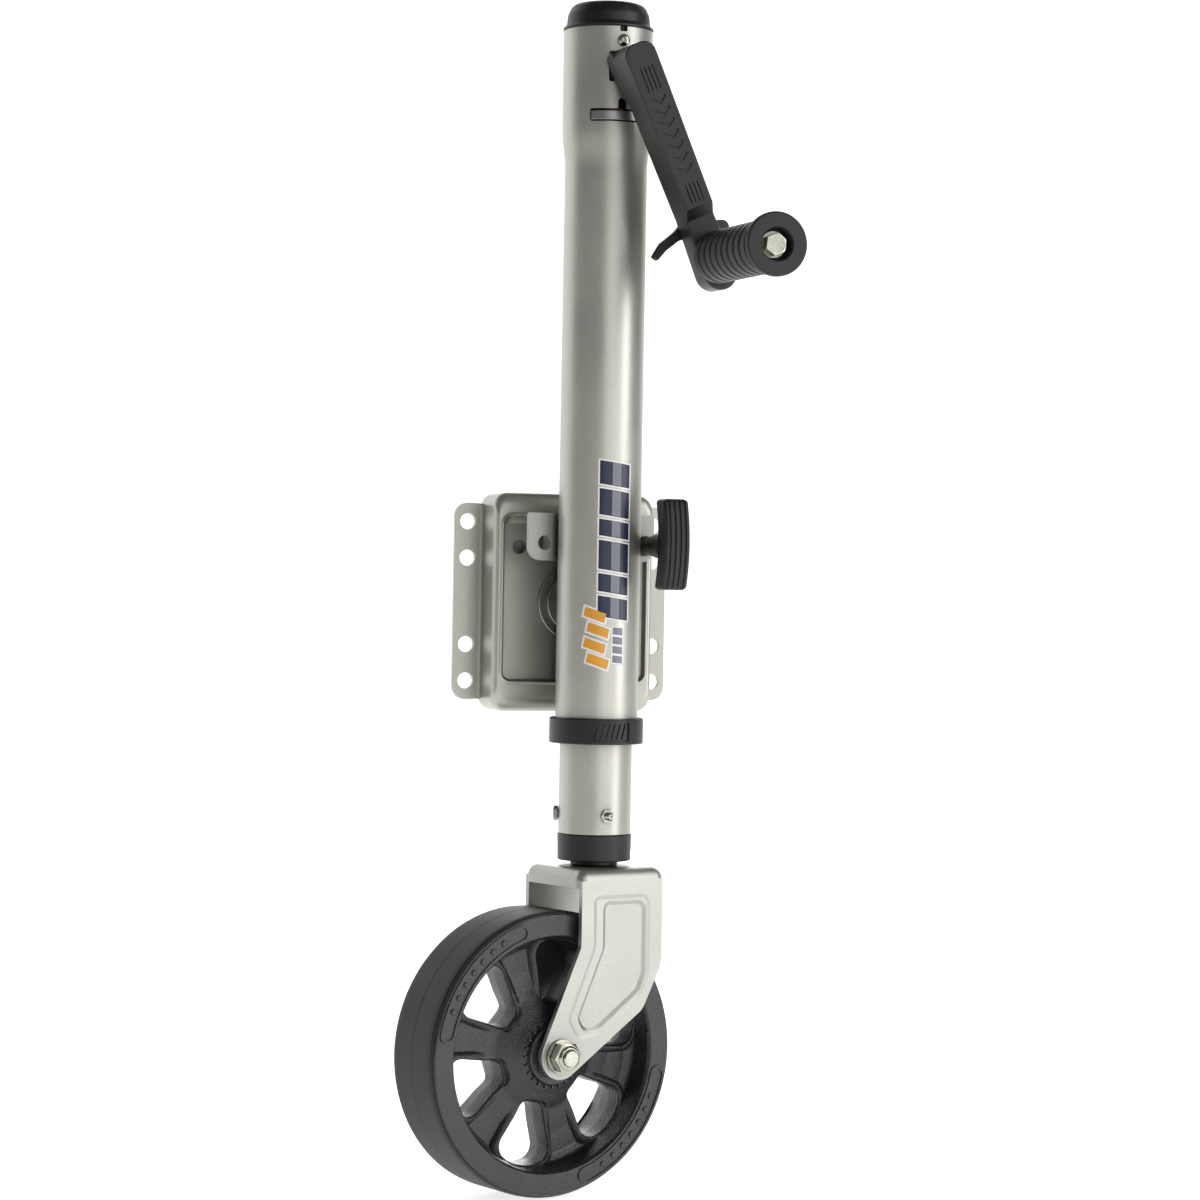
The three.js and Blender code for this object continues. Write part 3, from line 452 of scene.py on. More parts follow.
VIEW_AZIMUTH = math.radians(-20)
VIEW_DISTANCE = 2463
EYE_HEIGHT = 15.9
AIM_HEIGHT = 2.7
AIM_RIGHT = 1.2
ROLL = math.radians(1.02)
LENS = 100.8


def lay_camera():
    right = Vector((math.cos(VIEW_AZIMUTH), math.sin(VIEW_AZIMUTH), 0))
    back = Vector((math.sin(VIEW_AZIMUTH), -math.cos(VIEW_AZIMUTH), 0))
    aim = Vector((0, AXIS_Y, AIM_HEIGHT)) + right * AIM_RIGHT
    eye = Vector((0, AXIS_Y, EYE_HEIGHT)) + back * VIEW_DISTANCE + right * AIM_RIGHT
    data = bpy.data.cameras.new("camera")
    data.lens = LENS
    data.sensor_width = 36
    data.clip_end = 100
    camera = bpy.data.objects.new("camera", data)
    camera.location = eye * MM
    camera.rotation_mode = "QUATERNION"
    look = (aim - eye).to_track_quat("-Z", "Y")
    camera.rotation_quaternion = look @ Matrix.Rotation(ROLL, 4, "Z").to_quaternion()
    scene.collection.objects.link(camera)
    scene.camera = camera


def lay_floor():
    """A pale sweep: floor, a wide curve behind, and a wall."""
    low = CAD_LOW.z / MM - 1
    profile = [(-4000, low), (2600, low, 1500), (2600, 4200)]
    line = fillet(profile, 16)
    bm = bmesh.new()
    rows = [[bm.verts.new((x * MM, y * MM, z * MM)) for y, z in line] for x in (-6000, 6000)]
    for i in range(len(line) - 1):
        bm.faces.new((rows[0][i], rows[1][i], rows[1][i + 1], rows[0][i + 1]))
    floor = as_object(bm, "floor")
    floor.data.shade_smooth()
    look = Look("floor_paper", 0.0, 0.85)
    look.colour(look.noise(2.0), (0.3, (0.90, 0.90, 0.895)), (0.7, (0.93, 0.93, 0.925)))
    look.shader.inputs["Emission Color"].default_value = (1, 1, 1, 1)
    look.shader.inputs["Emission Strength"].default_value = 0.75
    floor.data.materials.append(look.material)


LIGHT_AIM = Vector((0, -0.088, 0))


def lay_light(name, azimuth, height, distance, size, power):
    """A soft panel round the object. Azimuth 0 is in front, 90 to the right."""
    a = math.radians(azimuth)
    data = bpy.data.lights.new(name, "AREA")
    data.shape = "RECTANGLE"
    data.size, data.size_y = size
    data.energy = power
    lamp = bpy.data.objects.new(name, data)
    lamp.location = (distance * math.sin(a), -distance * math.cos(a), height)
    lamp.rotation_mode = "QUATERNION"
    lamp.rotation_quaternion = (LIGHT_AIM - lamp.location).to_track_quat("-Z", "Y")
    scene.collection.objects.link(lamp)


def lay_lights():
    world = bpy.data.worlds.new("studio")
    scene.world = world
    world.use_nodes = True
    background = world.node_tree.nodes["Background"]
    background.inputs["Color"].default_value = (1.0, 0.995, 0.98, 1)
    background.inputs["Strength"].default_value = 0.12
    lay_light("key", 46, 0.6, 2.2, (0.8, 2.4), 22)
    lay_light("front", 8, 0.5, 2.6, (2.0, 2.4), 17)
    lay_light("rim_right", 158, 0.4, 1.6, (0.8, 2.2), 9)
    lay_light("rim_left", -146, 0.4, 2.0, (0.9, 2.2), 0.8)
    scene.view_settings.view_transform = "Standard"


# ---------------------------------------------------------------- frame bracket and pivot

BOX_X, BOX_Z, BOX_FRONT = 63, 81.5, 36
FLOOR_FRONT, FLOOR_BACK = 32, 28.5
SHEET = 4
LOCK_HOLE = 5.4


def rect_loop(half_x, z0, z1, radius, g, steps=8):
    return [(x, -g, z) for x, z in rounded_rect(-half_x, half_x, z0, z1, radius, steps)]


def bracket():
    """Pressed sheet: a raised box with a dished front, between two drilled flanges."""
    sections = [rect_loop(BOX_X, -BOX_Z, BOX_Z, 11, 0)]
    # the bend is tight at the sides and wide at the top and bottom
    side_bend, end_bend, depth = 3.6, 13, 8
    for k in range(9):
        a = math.radians(11.25 * k)
        inset = 1 - math.cos(a)
        g = BOX_FRONT - depth + depth * math.sin(a)
        end = BOX_Z - end_bend * inset
        sections.append(rect_loop(BOX_X - side_bend * inset, -end, end, 11 - 3 * inset, g))
    # the raised lip of the recess, its short wall (longer at the top) and the floor
    dish = ((0, 0, 36.1), (0.5, 0.4, 36.8), (1.2, 1.0, 37.1), (2.0, 1.8, 36.9), (2.6, 2.8, 35.8),
            (2.9, 4.4, 33.8), (3.2, 6.2, 32.6), (3.8, 7.4, 32.1), (4.8, 8.6, FLOOR_FRONT))
    for inset, top, g in dish:
        sections.append(rect_loop(58.8 - inset, -61.2 + inset, 66.4 - top, 9 - inset, g))
    body = loft(sections)
    inside_x, inside_z = BOX_X - SHEET, BOX_Z - SHEET
    hollow = slab(rounded_rect(-inside_x, inside_x, -inside_z, inside_z, 8), -1, FLOOR_BACK)
    body = cut(body, soften(hollow, 2.5, 3))
    for side in (-1, 1):
        flange = fillet([(side * 58, -73.2), (side * 84.5, -74, 10),
                         (side * 84.5, 74, 10), (side * 58, 73.2)], 8)
        plate = slab(flange, 0, SHEET)
        for z in (-59.6, -32.4, 32.4, 59.6):
            plate = cut(plate, forward(rod(6, -1, SHEET + 1), 40, side * 74.5, z))
        plate = soften(plate, 0.7, 2, 50)
        # the small fold between the flange and the box wall
        fold = [(side * 62, 3.9), (side * 66, 3.9)]
        for k in range(1, 7):
            a = math.radians(15 * k)
            fold.append((side * (66 - 3 * math.sin(a)), 3.9 + 3 * (1 - math.cos(a))))
        fold.append((side * 62, 6.9))
        body = join(body, plate, flat_slab(fold, -72, 72))
        inner = box(*sorted((side * 50, side * 59)), -1, 20, -60, 60)
        body = cut(body, inner)
    body = cut(body, forward(rod(20.3, FLOOR_BACK - 2, 40), 96))
    for x, z in ((LOCK.x, LOCK.z), (-LOCK.z, LOCK.x)):
        body = join(body, forward(rod(8.2, 20.5, FLOOR_BACK + 0.5, 0.8), 48, x, z))
        body = cut(body, forward(rod(LOCK_HOLE, 21.7, 40), 48, x, z))
    return body


def lay_bracket():
    finish("bracket_pressing", bracket(), "bracket", "silver_paint", SILVER, "frame_bracket")
    post = forward([(0, 20), (19.2, 20, .5), (20, 21), (20, 24.7, .3), (18, 24.7), (18, 27.3),
                    (20, 27.3, .3), (20, 35.1, .6), (22, 35.1, .6), (22, 37.7, .8), (15, 37.7, 1),
                    (14, 36.9, 1), (0, 36.9)])
    finish("pivot_post_turned", post, "tube", "bright_zinc", STEEL, "pivot_post")
    washer = forward(ring(20.4, 28, 32.3, 34.8, 0.8))
    finish("pivot_washer_turned", washer, "tube", "bright_zinc", STEEL, "pivot_bearing_washer")
    snap = cut(forward(ring(18.3, 24, 25, 27, 0.3)), box(-3, 3, 24, 28, -30, -10))
    for side in (-1, 1):
        ear = forward(rod(3.4, 25, 27, 0.3), 24, side * 6.2, -22)
        snap = cut(join(snap, ear), forward(rod(1.1, 24, 28), 16, side * 6.2, -22))
    finish("pivot_snap_ring", snap, "tube", "plain_steel", STEEL, "pivot_retaining_ring")


# ---------------------------------------------------------------- saddle and pull pin


def saddle():
    """Pressed hat section with ears, a foot along the tube and a narrow tail."""
    outer = [(-49.2, 67), (-28, 67, 3), (-28, 38, 6), (28, 38, 6), (28, 67, 3), (49.2, 67)]
    inner = [(49.2, 71), (24, 71, 7), (24, 43, 2), (-24, 43, 2), (-24, 71, 7), (-49.2, 71)]
    body = flat_slab(fillet(outer, 6) + fillet(inner, 6), 31, 66)
    ears = fillet([(-49.2, 31, 10), (49.2, 31, 10), (49.2, 66, 2), (-49.2, 66, 2)], 8, closed=True)
    body = common(body, slab(ears, 30, 80))
    for x, z in ((LOCK.x, LOCK.z), (-36.3, 44)):
        body = cut(body, forward(rod(LOCK_HOLE, 60, 80), 48, x, z))
    tail = fillet([(38, -60, 4), (62, -60), (62, -55), (43, -55, 2), (43, 33), (38, 33)], 4, closed=True)
    body = join(body, side_slab(tail, -15, 15))
    room = turned(rod(30.45, -70, 80), 128, at=(0, AXIS_Y, 0))
    return soften(cut(body, room), 0.5, 2, 50)


def handle_section(inset):
    """Half-width 9.5 bar with four grooves down its front, as (x, forward from its middle)."""
    wide, deep = 9.5 - inset, 8.5 - inset
    corners = [(-wide, -deep, 1.6), (wide, -deep, 1.6), (wide, deep, 1.8)]
    for x in (6, 2, -2, -6):
        corners += [(x + 0.85, deep, 0.3), (x + 0.4, deep - 1, 0.3), (x - 0.4, deep - 1, 0.3),
                    (x - 0.85, deep, 0.3)]
    corners.append((-wide, deep, 1.8))
    return fillet(corners, 3, closed=True)


def pull_handle():
    rows = []
    half = 33
    stations = [(-half, 2.4), (-half + 0.5, 1.3), (-half + 1.3, 0.5), (-half + 2.4, 0.0)]
    stations += [(-half + 2.4 + (2 * half - 4.8) * k / 16, 0.0) for k in range(1, 16)]
    stations += [(-z, inset) for z, inset in reversed(stations[:4])]
    for z, inset in stations:
        bow = 130.5 + 3 * (1 - 2 * (z / half) ** 2)
        rows.append([(x + LOCK.x, -(g + bow), z + LOCK.z + 1) for x, g in handle_section(inset)])
    bar = loft(rows)
    neck = forward([(0, 72), (7.4, 72, .8), (7.4, 76.5, 1), (6.2, 79, 2), (6.2, 89, 4), (8.2, 97, 6),
                    (9.7, 110, 10), (11.3, 124, 2), (12.2, 128), (0, 128)], 64, LOCK.x, LOCK.z, 6)
    body = join(bar, neck)
    return cut(body, forward(rod(5.05, 60, 115.3), 32, LOCK.x, LOCK.z))


def lay_saddle():
    finish("saddle_pressing", saddle(), "tube", "bright_zinc", ZINC, "swivel_saddle")
    finish("pull_grip", pull_handle(), "pull", "black_plastic", BLACK, "pull_handle")
    pin = forward([(0, 32.6), (3.4, 32.6, .4), (4.75, 34.4, .4), (4.75, 43.2), (3.75, 43.2), (3.75, 45.8),
                   (4.75, 45.8), (4.75, 115), (0, 115)], 48, LOCK.x, LOCK.z)
    finish("pull_pin_turned", pin, "pull", "bright_zinc", HARDWARE, "pull_pin")
    clip = cut(forward(ring(4.05, 9, 43.5, 45.5, .3), 48, LOCK.x, LOCK.z),
               box(LOCK.x + 1, LOCK.x + 20, 40, 50, LOCK.z - 1.8, LOCK.z + 1.8))
    finish("pull_pin_clip", clip, "pull", "plain_steel", STEEL, "pin_clip")


SPRING_BACK, SPRING_FRONT = 46.9, 65.6


def coil():
    """A spring wound between its CAD solid's ends."""
    turns, wire, middle = 5, 1.0, 6.4
    start, end = SPRING_BACK, SPRING_FRONT
    bm = bmesh.new()
    steps = turns * 24
    rows = []
    for k in range(steps + 1):
        a = 2 * math.pi * k / 24
        g = start + (end - start) * k / steps
        out = Vector((math.cos(a), 0, math.sin(a)))
        centre = out * middle + Vector((0, -g, 0))
        round_wire = [2 * math.pi * m / 10 for m in range(10)]
        rows.append([bm.verts.new(centre + out * (wire * math.cos(b)) + Vector((0, wire * math.sin(b), 0)))
                     for b in round_wire])
    for low, high in zip(rows, rows[1:]):
        for i in range(10):
            j = (i + 1) % 10
            bm.faces.new((low[i], low[j], high[j], high[i]))
    bm.faces.new(rows[0])
    bm.faces.new(list(reversed(rows[-1])))
    return moved(as_object(bm), LOCK.x, 0, LOCK.z)


def lay_spring():
    """A coil that rides with the pull pin and keeps its shape; in the jack the clip presses the spring against the
    saddle as the pin comes out.
    """
    spring = finish("pull_spring", coil(), "pull", "plain_steel", STEEL, "pin_spring")
    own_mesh(spring)


# ---------------------------------------------------------------- outer tube, cap and collar

TUBE_R, HEAD_R, WALL = 30.15, 32.7, 3
CAP_SCREW_Z = 408


def outer_tube():
    swage = [(TUBE_R + (HEAD_R - TUBE_R) * (1 - math.cos(math.pi * k / 12)) / 2, 315 + 34 * k / 12)
             for k in range(13)]
    shell = turned([(27.15, -98, .4), (TUBE_R, -98, .4), *swage, (HEAD_R, 418.5, .5),
                    (HEAD_R - WALL, 418.5, .5), (HEAD_R - WALL, 345, 8), (27.15, 320, 8)], 192, 4)
    window = rounded_rect(-10.3, 10.3, CRANK_HOME.z - 11, CRANK_HOME.z + 11, 1.6, 4)
    keyhole = [(-3.3, 356), (3.3, 356)] + arc(0, 363.2, 3.3, 0, 180, 10)
    slot = rounded_rect(-21.9, 21.9, 349.3, 358.6, 1.6, 3)
    notch = fillet([(-2.8, 414.5, .8), (2.8, 414.5, .8), (2.8, 425), (-2.8, 425)], 3, closed=True)
    plate_slot = join(slab(slot, 5, 45), slab(keyhole, 20, 45))
    shell = cut(shell, slab(window, 20, 45), plate_slot, slab(notch, 20, 45))
    screw_hole = forward(rod(2.5, 20, 45), 24, 0, CAP_SCREW_Z)
    rear_hole = forward(rod(8.5, -45, -20), 48, 0, CRANK_HOME.z)
    return cut(shell, screw_hole, rear_hole)


def tube_cap():
    dome = [(27, 401), (29.3, 401, .5), (29.3, 418.8), (33, 418.8, .4), (33.1, 420.3, .6),
            (31.8, 421.4, .5), (31.3, 422.4, .4), (30.6, 423, .4), (29.9, 430, 9), (26.3, 438, 7),
            (0, 438.8)]
    inside = [(0, 435.8), (21, 435.4), (27, 429.5)]
    return turned(dome + inside, 128, 6)


def upper_collar():
    bottom, top, radius = -102, -83.4, 34.4
    shell = turned([(26.8, bottom, .5), (radius, bottom, 1), (radius, top, 1), (30.45, top, .4),
                    (30.45, -98.3), (26.8, -98.3)], 160, 4)
    badge = slab(rounded_rect(-14.4, 14.4, bottom + 2.2, top - 2.2, 1.2, 3), 30, 40)
    pocket = common(turned(ring(radius - 1.3, radius + 3, bottom, top), 160), badge)
    shell = cut(shell, pocket)
    skin = turned(ring(radius - 1.7, radius - 0.3, bottom + 3.4, top - 3.4), 160)
    for x in (-10.5, -6.3, -2.1, 2.1, 6.3, 10.5):
        slant = [(x - 2.2, bottom + 4), (x - 0.6, bottom + 4), (x + 2.2, top - 4), (x + 0.6, top - 4)]
        shell = join(shell, common(slab(slant, 25, 40), copy_of(skin)))
    bpy.data.objects.remove(skin)
    return shell


def screw_head(radius, base, height, drive):
    """A domed screw head with a cross recess, heights forwards."""
    rim = 0.8
    rise = height - rim
    dome = [(radius * math.cos(math.radians(t)), base + rim + rise * math.sin(math.radians(t)))
            for t in range(0, 91, 15)]
    head = lathe([(0, base), (radius, base)] + dome[:-1] + [(0, base + height)], 48)
    for turn in (45, 135):
        blade = loft([[(x * w, y * d, base + z) for x, y in ((-1, -1), (1, -1), (1, 1), (-1, 1))]
                      for z, w, d in ((height * 0.35, drive * 0.5, 0.28), (height + 1, drive, 0.42))])
        head = cut(head, moved(blade, turn=Matrix.Rotation(math.radians(turn), 4, "Z")))
    return head


def lay_tube():
    finish("tube_pipe", outer_tube(), "tube", "silver_paint", SILVER, "outer_tube", place=AXIS)
    finish("tube_cap_moulded", tube_cap(), "tube", "black_plastic", BLACK, "tube_cap", place=AXIS)
    head = moved(screw_head(4.4, 33, 3.0, 2.6), turn=FORWARD, z=CAP_SCREW_Z)
    shank = forward(rod(2.2, 26.2, 33.4), 32, 0, CAP_SCREW_Z)
    finish("cap_screw_turned", join(head, shank), "tube", "bright_zinc", HARDWARE, "cap_screw", place=AXIS)
    finish("upper_collar_moulded", upper_collar(), "tube", "black_plastic", BLACK, "upper_collar", place=AXIS)
    tab_sides = flat_slab([(-21, 0), (21, 0), (21, 40), (-21, 40)], 340, 370)
    tab = common(turned(rod(32, 350.4, 357.2, .5), 160), tab_sides)
    disc = join(turned(rod(29.3, 351.4, 355.4, .3), 128), tab)
    disc = cut(disc, turned(rod(8.6, 340, 370), 48))
    finish("bearing_plate_stamped", disc, "tube", "bright_zinc", STEEL, "bearing_plate", place=AXIS)


# ---------------------------------------------------------------- stripes on the tube


def wrapped(outline, radius, cell=1.2):
    """A thin patch of an (arc length, z) outline, wrapped onto the tube's front."""
    bm = bmesh.new()
    bm.faces.new([bm.verts.new((x, 0, z)) for x, z in outline])
    xs = [x for x, z in outline]
    x = min(xs) + cell
    while x < max(xs):
        geometry = bm.verts[:] + bm.edges[:] + bm.faces[:]
        bmesh.ops.bisect_plane(bm, geom=geometry, plane_co=(x, 0, 0), plane_no=(1, 0, 0))
        x += cell
    flat = bmesh.ops.extrude_face_region(bm, geom=bm.faces[:])
    for vertex in [v for v in flat["geom"] if isinstance(v, bmesh.types.BMVert)]:
        vertex.co.y = -1
    for vertex in bm.verts:
        a = vertex.co.x / radius
        r = radius - vertex.co.y * 0.06 if vertex.co.y < -0.5 else radius - 0.05
        vertex.co = Vector((r * math.sin(a), -r * math.cos(a), vertex.co.z))
    return as_object(bm)


def grown(outline, by):
    """The outline pushed out on every side."""
    made = []
    count = len(outline)
    following = outline[1:] + outline[:1]
    area = sum(here[0] * after[1] - after[0] * here[1] for here, after in zip(outline, following))
    sign = 1 if area > 0 else -1
    for i in range(count):
        before, here, after = Vector(outline[i - 1]), Vector(outline[i]), Vector(following[i])
        one, two = (here - before).normalized(), (after - here).normalized()
        n1 = Vector((one.y, -one.x)) * sign
        n2 = Vector((two.y, -two.x)) * sign
        middle = (n1 + n2).normalized()
        made.append(tuple(here + middle * (by / max(0.4, middle.dot(n1)))))
    return made


NAVY = moulded("stripe_navy", (0.012, 0.016, 0.045), (0.25, 0.36), 900, 0.00002, 20, 0.1)
WHITE = moulded("stripe_white", (0.78, 0.78, 0.77), (0.28, 0.38), 900, 0.00002, 20, 0.03)
SLATE = moulded("stripe_slate", (0.20, 0.20, 0.235), (0.26, 0.36), 900, 0.00002, 20, 0.08)
AMBER = moulded("stripe_amber", (0.72, 0.33, 0.035), (0.26, 0.36), 900, 0.00002, 12, 0.16)


def lay_stripes():
    """Plain slanted bars in navy, slate and amber with pale borders. They say nothing."""
    layers = {"pale": [], "navy": [], "slate": [], "amber": []}
    left, right, lean = -11.0, 12.6, 3.2
    z = 101.0
    for length in (17, 19, 12, 21, 13, 15):
        bar = [(left, z - length + lean), (right, z - length), (right, z), (left, z + lean)]
        layers["pale"].append(grown(bar, 1.1))
        layers["navy"].append(bar)
        middle = [(left + 9.2, z - length + lean * 0.7), (left + 16.4, z - length + lean * 0.4),
                  (left + 16.4, z + lean * 0.35), (left + 9.2, z + lean * 0.65)]
        layers["slate"].append(grown(middle, -0.2))
        z -= length + 3.2
    for k in range(4):
        z0 = -5 - 11.2 * k
        shift = 2.5 * (k % 2)
        flash = [(-21.5 + shift, z0 - 3.6), (-6 + shift, z0 - 8.8),
                 (-4.6 + shift, z0 - 2.2), (-20 + shift, z0 + 3)]
        layers["pale"].append(grown(flash, 1.4))
        layers["amber"].append(flash)
    for k in range(4):
        z0 = -17.5 - 6.8 * k
        tick = [(0.5, z0 - 4.4), (8.5, z0 - 5.2), (8.5, z0), (0.5, z0 + 0.8)]
        layers["pale"].append(grown(tick, 0.8))
        layers["slate"].append(tick)
    looks = {"pale": WHITE, "navy": NAVY, "slate": SLATE, "amber": AMBER}
    for depth, (key, outlines) in enumerate(layers.items()):
        bodies = [wrapped(outline, TUBE_R + 0.04 + 0.035 * depth) for outline in outlines]
        bm = bmesh.new()
        for each in bodies:
            bm.from_mesh(each.data)
            bpy.data.objects.remove(each)
        finish(f"stripes_{key}", as_object(bm), "tube", "silver_paint", looks[key], place=AXIS)


# ---------------------------------------------------------------- inner tube and what it carries

FITTING_Z = -154
SCREW_SIDE = Matrix.Rotation(math.radians(-25), 4, "Z") @ SIDEWAYS


def hex_head(across, low, high):
    """A hexagon with both ends' corners turned down, heights along +Z."""
    prism = loft([[(x, y, z) for x, y in hexagon(across)] for z in (low, high)])
    tip = across / math.sqrt(3)
    flat = across / 2 * 0.95
    drop = (tip - flat) * 0.56
    cone = lathe([(0, low), (flat, low), (tip + 0.4, low + drop),
                  (tip + 0.4, high - drop), (flat, high), (0, high)], 48)
    return common(prism, cone)


def lay_lift():
    shell = turned(ring(23.5, 26.5, -168, 300, .4), 160)
    shell = cut(shell, forward(rod(3.1, 15, 35), 24, 0, FITTING_Z),
                turned(rod(3.1, -35, -15), 24, 4, SCREW_SIDE, (0, 0, FITTING_Z)))
    finish("inner_pipe", shell, "lift", "silver_paint", SILVER, "inner_tube", place=AXIS)
    collar = turned([(9.8, -187.6, .4), (26.8, -187.6, 1.2), (27.1, -168.3, .7), (23.2, -168.3),
                     (23.2, -144, .4), (9.8, -144)], 128)
    collar = cut(collar, forward(rod(3.1, 15, 35), 24, 0, FITTING_Z),
                 turned(rod(3.1, -35, -15), 24, 4, SCREW_SIDE, (0, 0, FITTING_Z)))
    finish("lower_collar_moulded", collar, "lift", "black_plastic", BLACK, "lower_collar", place=AXIS)
    nipple = forward([(0, 18), (2.8, 18), (2.8, 27), (3.2, 29), (2.7, 29.8, .3), (1.9, 31.2, .6),
                      (2.9, 32.7, .5), (2.9, 33.4, .4), (1.9, 34.7, .2), (0.8, 34.8), (0.5, 34.2),
                      (0, 34.1)], 40, 0, FITTING_Z)
    base = moved(hex_head(9.2, 26.8, 29.3), turn=FORWARD, z=FITTING_Z)
    finish("grease_nipple", join(nipple, base), "lift", "bright_zinc", HARDWARE, "grease_fitting", place=AXIS)
    bolt = join(lathe(fillet(rod(2.8, -27.5, -18), 3), 32), hex_head(9.2, -30.2, -26.8))
    bolt = moved(bolt, turn=SCREW_SIDE, z=FITTING_Z)
    finish("stem_screw", bolt, "lift", "plain_steel", STEEL, "stem_set_screw", place=AXIS)


# ---------------------------------------------------------------- crank

LATCH_Z = -126


def crank_arm():
    """Tapered arm, a ledge down to the grip boss, and the hub that enters the tube."""
    outline = fillet([(-10.6, -126), (10.6, -126), (12.2, 0), (12, 12, 9),
                      (-12, 12, 9), (-12.2, 0)], 8, closed=True)
    arm = soften(slab(outline, 45, 73), 1.1, 3, 50)
    drop = [(66, -120), (66, -160), (90, -160), (90, -104), (74, -110.5, 2)]
    arm = cut(arm, side_slab(fillet(drop, 3), -40, 40))
    end = arc(0, -ARM_LENGTH - 11, 13, 180, 360, 24)
    boss = soften(slab([(10.7, -110), (-10.7, -110)] + end, 45.2, 66), 1.8, 4, 50)
    web = fillet([(33.6, -8.6, 2), (33.6, 8.6, 2), (36.6, 10.5, 3), (44, 12.2, 3), (48, 12.2), (48, -38),
                  (44, -30, 8), (37, -13, 4)], 4, closed=True)
    gusset = soften(side_slab(web, -11.2, 11.2), 1.6, 3, 50)
    hub = forward(rod(9.6, 26.2, 47), 64)
    hub = cut(hub, turned(rod(2, -20, 20), 20, 4, SIDEWAYS, (0, -39, 0)))
    body = join(arm, boss, gusset, hub)
    body = cut(body, forward(rod(6.3, 20, 62), 32))
    body = cut(body, forward(rod(5.1, 40, 80), 32, 0, -ARM_LENGTH))
    body = cut(body, slab([(x, z - ARM_LENGTH) for x, z in hexagon(15)], 44, 53))
    body = cut(body, forward(rod(2.9, 40, 58), 24, 0, LATCH_Z))
    for low, high in ((-24, -6), (-108.5, -94.5)):
        for x in (-4.8, -1.6, 1.6, 4.8):
            body = cut(body, slab(rounded_rect(x - 0.5, x + 0.5, low, high, 0.45, 2), 72.1, 75))
    for k in range(7):
        z0 = -31 - 8.7 * k
        mark = [(-6, z0 + 2.6), (0, z0 - 1.2), (6, z0 + 2.6), (6, z0 + 0.4), (0, z0 - 3.4), (-6, z0 + 0.4)]
        body = cut(body, slab(mark, 72.1, 75))
    return body


def grip_profile():
    groove, rib = 16.5, 19
    line = [(7.8, 67), (17.2, 67, .6)]
    for k in range(9):
        start = 69.6 + 10.75 * k
        line += [(groove, start, .4), (rib, start + 1.0, 1), (rib, start + 8.6, 1), (groove, start + 9.6, .4)]
    line += [(groove, 167.2, .4), (18.8, 168.2, .8), (18.8, 171, .6), (17.4, 171.8, .4), (17.4, 173.4, .4),
             (22.5, 174.4, 1.2), (22.5, 180, 1.6), (12.2, 180, .8), (11.2, 178.6), (11.2, 170), (7.8, 170)]
    return line


def latch():
    corners = [(-8, -121, 2), (-13, -123.5, 4), (-27, -127.5, 6), (-36.5, -134.3, 1), (-34, -138.3, 1),
               (-25, -134, 6), (-13, -131, 4), (10, -134, 4), (16.5, -139.5, 2), (21.5, -140.5, 5),
               (28, -138, 5), (28, -130, 5), (20, -127.3, 4), (8, -121, 2)]
    return soften(slab(fillet(corners, 4, closed=True), 38, 44), 1.1, 3, 50)


def lay_crank():
    finish("crank_arm_moulded", crank_arm(), "crank", "black_plastic", BLACK, "crank_arm", place=CRANK)
    grip = forward(grip_profile(), 112, 0, -ARM_LENGTH, 4)
    finish("crank_grip_moulded", grip, "grip", "grip_rubber", GRIP, "crank_grip", place=CRANK)
    lever = cut(latch(), forward(rod(2.9, 30, 50), 24, 0, LATCH_Z))
    finish("latch_lever", lever, "latch", "black_plastic", BLACK, "storage_latch", place=CRANK)
    rivet = forward([(0, 36.2), (3.2, 36.2, .6), (5, 37.6, .3), (2.6, 37.6), (2.6, 57.5), (0, 57.5)],
                    40, 0, LATCH_Z)
    finish("latch_rivet", rivet, "crank", "bright_zinc", HARDWARE, "latch_pin", place=CRANK)
    bolt = join(forward(rod(4.8, 45.5, 173, .4), 40, 0, -ARM_LENGTH),
                moved(hex_head(14, 172.5, 178), turn=FORWARD, z=-ARM_LENGTH))
    finish("grip_bolt_forged", bolt, "crank", "bright_zinc", HARDWARE, "grip_bolt", place=CRANK)
    nut = cut(moved(hex_head(14.3, 45.6, 52.6), turn=FORWARD, z=-ARM_LENGTH),
              forward(rod(5.1, 40, 60), 32, 0, -ARM_LENGTH))
    finish("grip_nut_forged", nut, "crank", "bright_zinc", HARDWARE, "grip_nut", place=CRANK)
    washer = forward(ring(5.1, 9.5, 170.4, 172.1, .3), 48, 0, -ARM_LENGTH)
    finish("grip_washer_stamped", washer, "crank", "bright_zinc", HARDWARE, "grip_washer", place=CRANK)


# ---------------------------------------------------------------- caster

FORK_TOP = -191.5
FORK_Y = 36.6
FORK_LEFT, FORK_RIGHT = -36.6, 37.9
LIP = 0.6
LEG_ROUND = 16.8


def tangent_angle(x, z, side):
    dx, dz = x + TRAIL, z - AXLE_Z
    return math.degrees(math.atan2(dz, dx) + side * math.acos(LEG_ROUND / math.hypot(dx, dz)))


def leg_outline():
    knee = (FORK_LEFT + 1.6, -247)
    heel = (20, -294.5)
    start, end = tangent_angle(*knee, 1), tangent_angle(*heel, -1) + 360
    curve = [(FORK_RIGHT - 1.5, FORK_TOP + 1), (FORK_RIGHT - 1.5, -262, 30), (*heel, 14)]
    foot = arc(-TRAIL, AXLE_Z, LEG_ROUND, start, end, 26)
    lead = fillet([(FORK_LEFT + 1.6, FORK_TOP + 1), (*knee, 8), foot[0]], 5)
    tail = fillet([foot[-1], *reversed(curve)], 8)
    return lead + foot[1:-1] + tail


def lid_loop(inset, z, radius):
    """The plan of the fork's lid, drawn in on every side."""
    left, right = FORK_LEFT + inset, FORK_RIGHT + LIP - inset
    plan = rounded_rect(left, right, -FORK_Y + inset, FORK_Y - inset, radius, 6)
    return [(x, -g, z) for x, g in plan]


